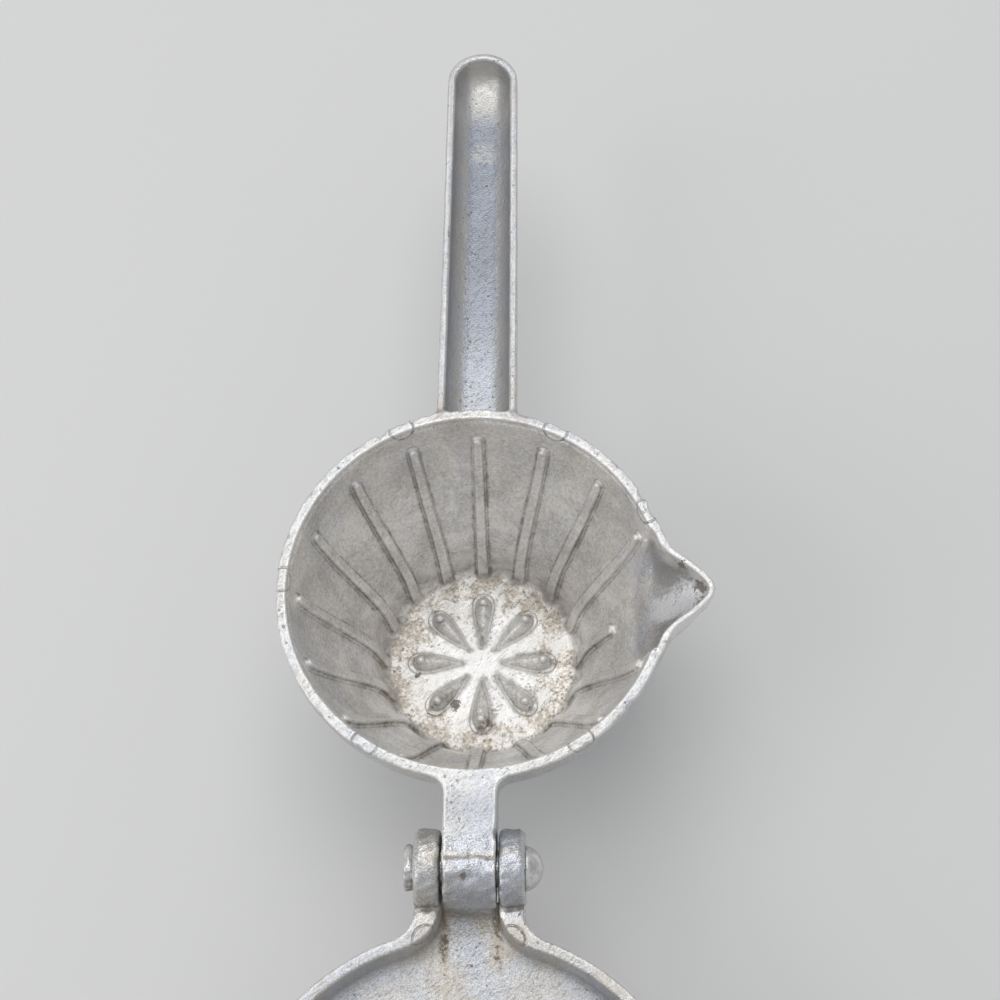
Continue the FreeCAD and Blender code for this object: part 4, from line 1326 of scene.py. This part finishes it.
class BuildRibs(bpy.types.Operator):
    """Ribs up the bowl's wall, the short one under the spout among them"""

    bl_idname = "squeezer.ribs"
    bl_label = "Ribs"

    def execute(self, context):
        bowl = context.scene.squeezer_bowl
        shape = build_shape("bowl")
        finish = finish_named("Bowl aluminium", BOWL_MARKS, bowl_detail)
        low, high = (18, -3, 2), (38, 3, 44)
        ring = casting("ribs", shape.rib_alone(RIB_TOP), low, high, finish, FINE_GRAIN, 11000)
        set_round(ring, bowl.rib_count, 1, 0.004, 4, finish)
        high = (38, 3, 27)
        short = casting("spout_rib", shape.rib_alone(SHORT_RIB_TOP), low, high, finish, FINE_GRAIN, 9000)
        for piece in (ring, short):
            mark_shelter_and_edges(piece.data, shape.with_ribs)
            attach(piece, "bowl")
        return {"FINISHED"}


class BuildPetals(bpy.types.Operator):
    """Raised petals on the bowl's floor"""

    bl_idname = "squeezer.petals"
    bl_label = "Petals"

    def execute(self, context):
        bowl = context.scene.squeezer_bowl
        shape = build_shape("bowl")
        finish = finish_named("Bowl aluminium", BOWL_MARKS, bowl_detail)
        piece = casting("petals", shape.petal_alone(), (2, -5, 2), (18, 5, 7), finish, FINEST_GRAIN, 9000)
        set_round(piece, bowl.petal_count, 0, 0.01, 7, finish)
        mark_shelter_and_edges(piece.data, shape.with_ribs)
        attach(piece, "bowl")
        return {"FINISHED"}


class BuildPresser(bpy.types.Operator):
    """Presser with its pan, dome, hinge ears and handle, one casting"""

    bl_idname = "squeezer.presser"
    bl_label = "Presser casting"

    def execute(self, context):
        shape = build_shape("presser")
        finish = finish_named("Presser aluminium", PRESSER_MARKS, presser_detail)
        piece = casting("presser", shape, *named_box("presser_casting"), finish)
        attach(piece, "presser")
        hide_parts("presser_casting")
        return {"FINISHED"}


class BuildRivet(bpy.types.Operator):
    """Rivet through the hinge"""

    bl_idname = "squeezer.rivet"
    bl_label = "Hinge rivet"

    def execute(self, context):
        shape = RivetShape(context.scene.squeezer_presser)
        finish = finish_named("Rivet aluminium", [], rivet_detail)
        piece = casting("rivet", shape, *named_box("hinge_rivet"), finish, FINEST_GRAIN, 30000)
        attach(piece, "presser")
        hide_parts("hinge_rivet")
        return {"FINISHED"}


def plain_material(name, value, rough):
    """Matt surface with a faint unevenness."""
    material = bpy.data.materials.new(name)
    material.use_nodes = True
    nodes = Nodes(material.node_tree)
    where = nodes.add("ShaderNodeTexCoord").outputs["Object"]
    cloud = nodes.noise(where, 400, 2)
    shade = nodes.mix(cloud, tuple(0.97 * part for part in value), tuple(value))
    shader = nodes.add("ShaderNodeBsdfPrincipled", {"Base Color": shade, "Roughness": rough})
    nodes.add("ShaderNodeOutputMaterial", {"Surface": shader.outputs[0]})
    return material


def soft_lamp(name, place, aim, size, power):
    """A large soft panel that faces the aim."""
    lamp = bpy.data.lights.new(name, "AREA")
    lamp.shape, lamp.energy = "RECTANGLE", power
    lamp.size, lamp.size_y = size
    holder = bpy.data.objects.new(name, lamp)
    bpy.context.collection.objects.link(holder)
    away = Vector(place) - Vector(aim)
    holder.matrix_world = Matrix.Translation(place) @ away.to_track_quat("Z", "Y").to_matrix().to_4x4()


# The stage, in metres: how far the table reaches; each lamp's place, aim, size, and power in watts;
# the camera's turns in degrees; the rim's middle as the camera sees it, in rim radii
TABLE_REACH = 40
LAMPS = {
    "Key panel": ((-0.06, 0.30, 1.0), (0, -0.02, 0), (0.75, 0.85), 3.2),
    "Side panel": ((-0.9, -0.3, 0.6), (0, -0.05, 0), (0.6, 0.9), 2.4),
}
AIR_TONE, AIR_STRENGTH = (0.97, 0.98, 1.0, 1), 0.5
CAMERA_TURNS = ((-24.8, "X"), (-1.6, "Y"), (-0.6, "Z"))
RIM_SEEN, RIM_RADIUS = (-0.134, -0.428, -8.549), 0.039


class SetStage(bpy.types.Operator):
    """Table top, soft panels and the camera"""

    bl_idname = "squeezer.stage"
    bl_label = "Stage"

    def execute(self, context):
        scene = context.scene
        table = bpy.data.meshes.new("table")
        ways = ((-1, -1), (1, -1), (1, 1), (-1, 1))
        corners = [(x * TABLE_REACH, y * TABLE_REACH, 0) for x, y in ways]
        table.from_pydata(corners, [], [(0, 1, 2, 3)])
        table.materials.append(plain_material("Table top", scene.squeezer_finish.table, 0.7))
        top = bpy.data.objects.new("table", table)
        context.collection.objects.link(top)

        world = bpy.data.worlds.new("Studio")
        world.use_nodes = True
        nodes = Nodes(world.node_tree)
        air = nodes.add("ShaderNodeBackground", {"Color": AIR_TONE, "Strength": AIR_STRENGTH})
        nodes.add("ShaderNodeOutputWorld", {"Surface": air.outputs[0]})
        scene.world = world
        for name, settings in LAMPS.items():
            soft_lamp(name, *settings)

        lens = bpy.data.cameras.new("Photograph view")
        lens.sensor_width, lens.lens = 36, scene.squeezer_stage.focal
        lens.clip_start = 0.01
        camera = bpy.data.objects.new("Photograph view", lens)
        context.collection.objects.link(camera)
        turn = Matrix.Identity(3)
        for degrees, axis in CAMERA_TURNS:
            turn = turn @ Matrix.Rotation(math.radians(degrees), 3, axis)
        shift = Vector(RIM_SEEN) * RIM_RADIUS
        place = -(turn.transposed() @ shift) + Vector((0, 0, scene.squeezer_bowl.height))
        camera.matrix_world = Matrix.Translation(place) @ turn.transposed().to_4x4()
        scene.camera = camera
        scene.view_settings.view_transform = "Standard"
        return {"FINISHED"}


class SqueezerPanel(bpy.types.Panel):
    """Lists the pieces of the squeezer"""

    bl_idname = "VIEW3D_PT_squeezer"
    bl_label = "Lemon squeezer"
    bl_space_type = "VIEW_3D"
    bl_region_type = "UI"
    bl_category = "Squeezer"

    def draw(self, context):
        for operator in PIECES:
            self.layout.operator(operator.bl_idname)


PIECES = (BuildBowl, BuildRibs, BuildPetals, BuildPresser, BuildRivet, SetStage)
SETTINGS = {
    "squeezer_bowl": BowlSizes,
    "squeezer_handle": HandleSizes,
    "squeezer_presser": PresserSizes,
    "squeezer_finish": FinishColours,
    "squeezer_stage": StageSettings,
}


def register():
    for kind in (*SETTINGS.values(), *PIECES, SqueezerPanel):
        bpy.utils.register_class(kind)
    for name, kind in SETTINGS.items():
        setattr(bpy.types.Scene, name, PointerProperty(type=kind))


def unregister():
    for name in SETTINGS:
        delattr(bpy.types.Scene, name)
    for kind in reversed((*SETTINGS.values(), *PIECES, SqueezerPanel)):
        bpy.utils.unregister_class(kind)


def main():
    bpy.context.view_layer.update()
    register()
    for operator in PIECES:
        getattr(bpy.ops.squeezer, operator.bl_idname.split(".")[1])()


if __name__ == "__main__":
    main()
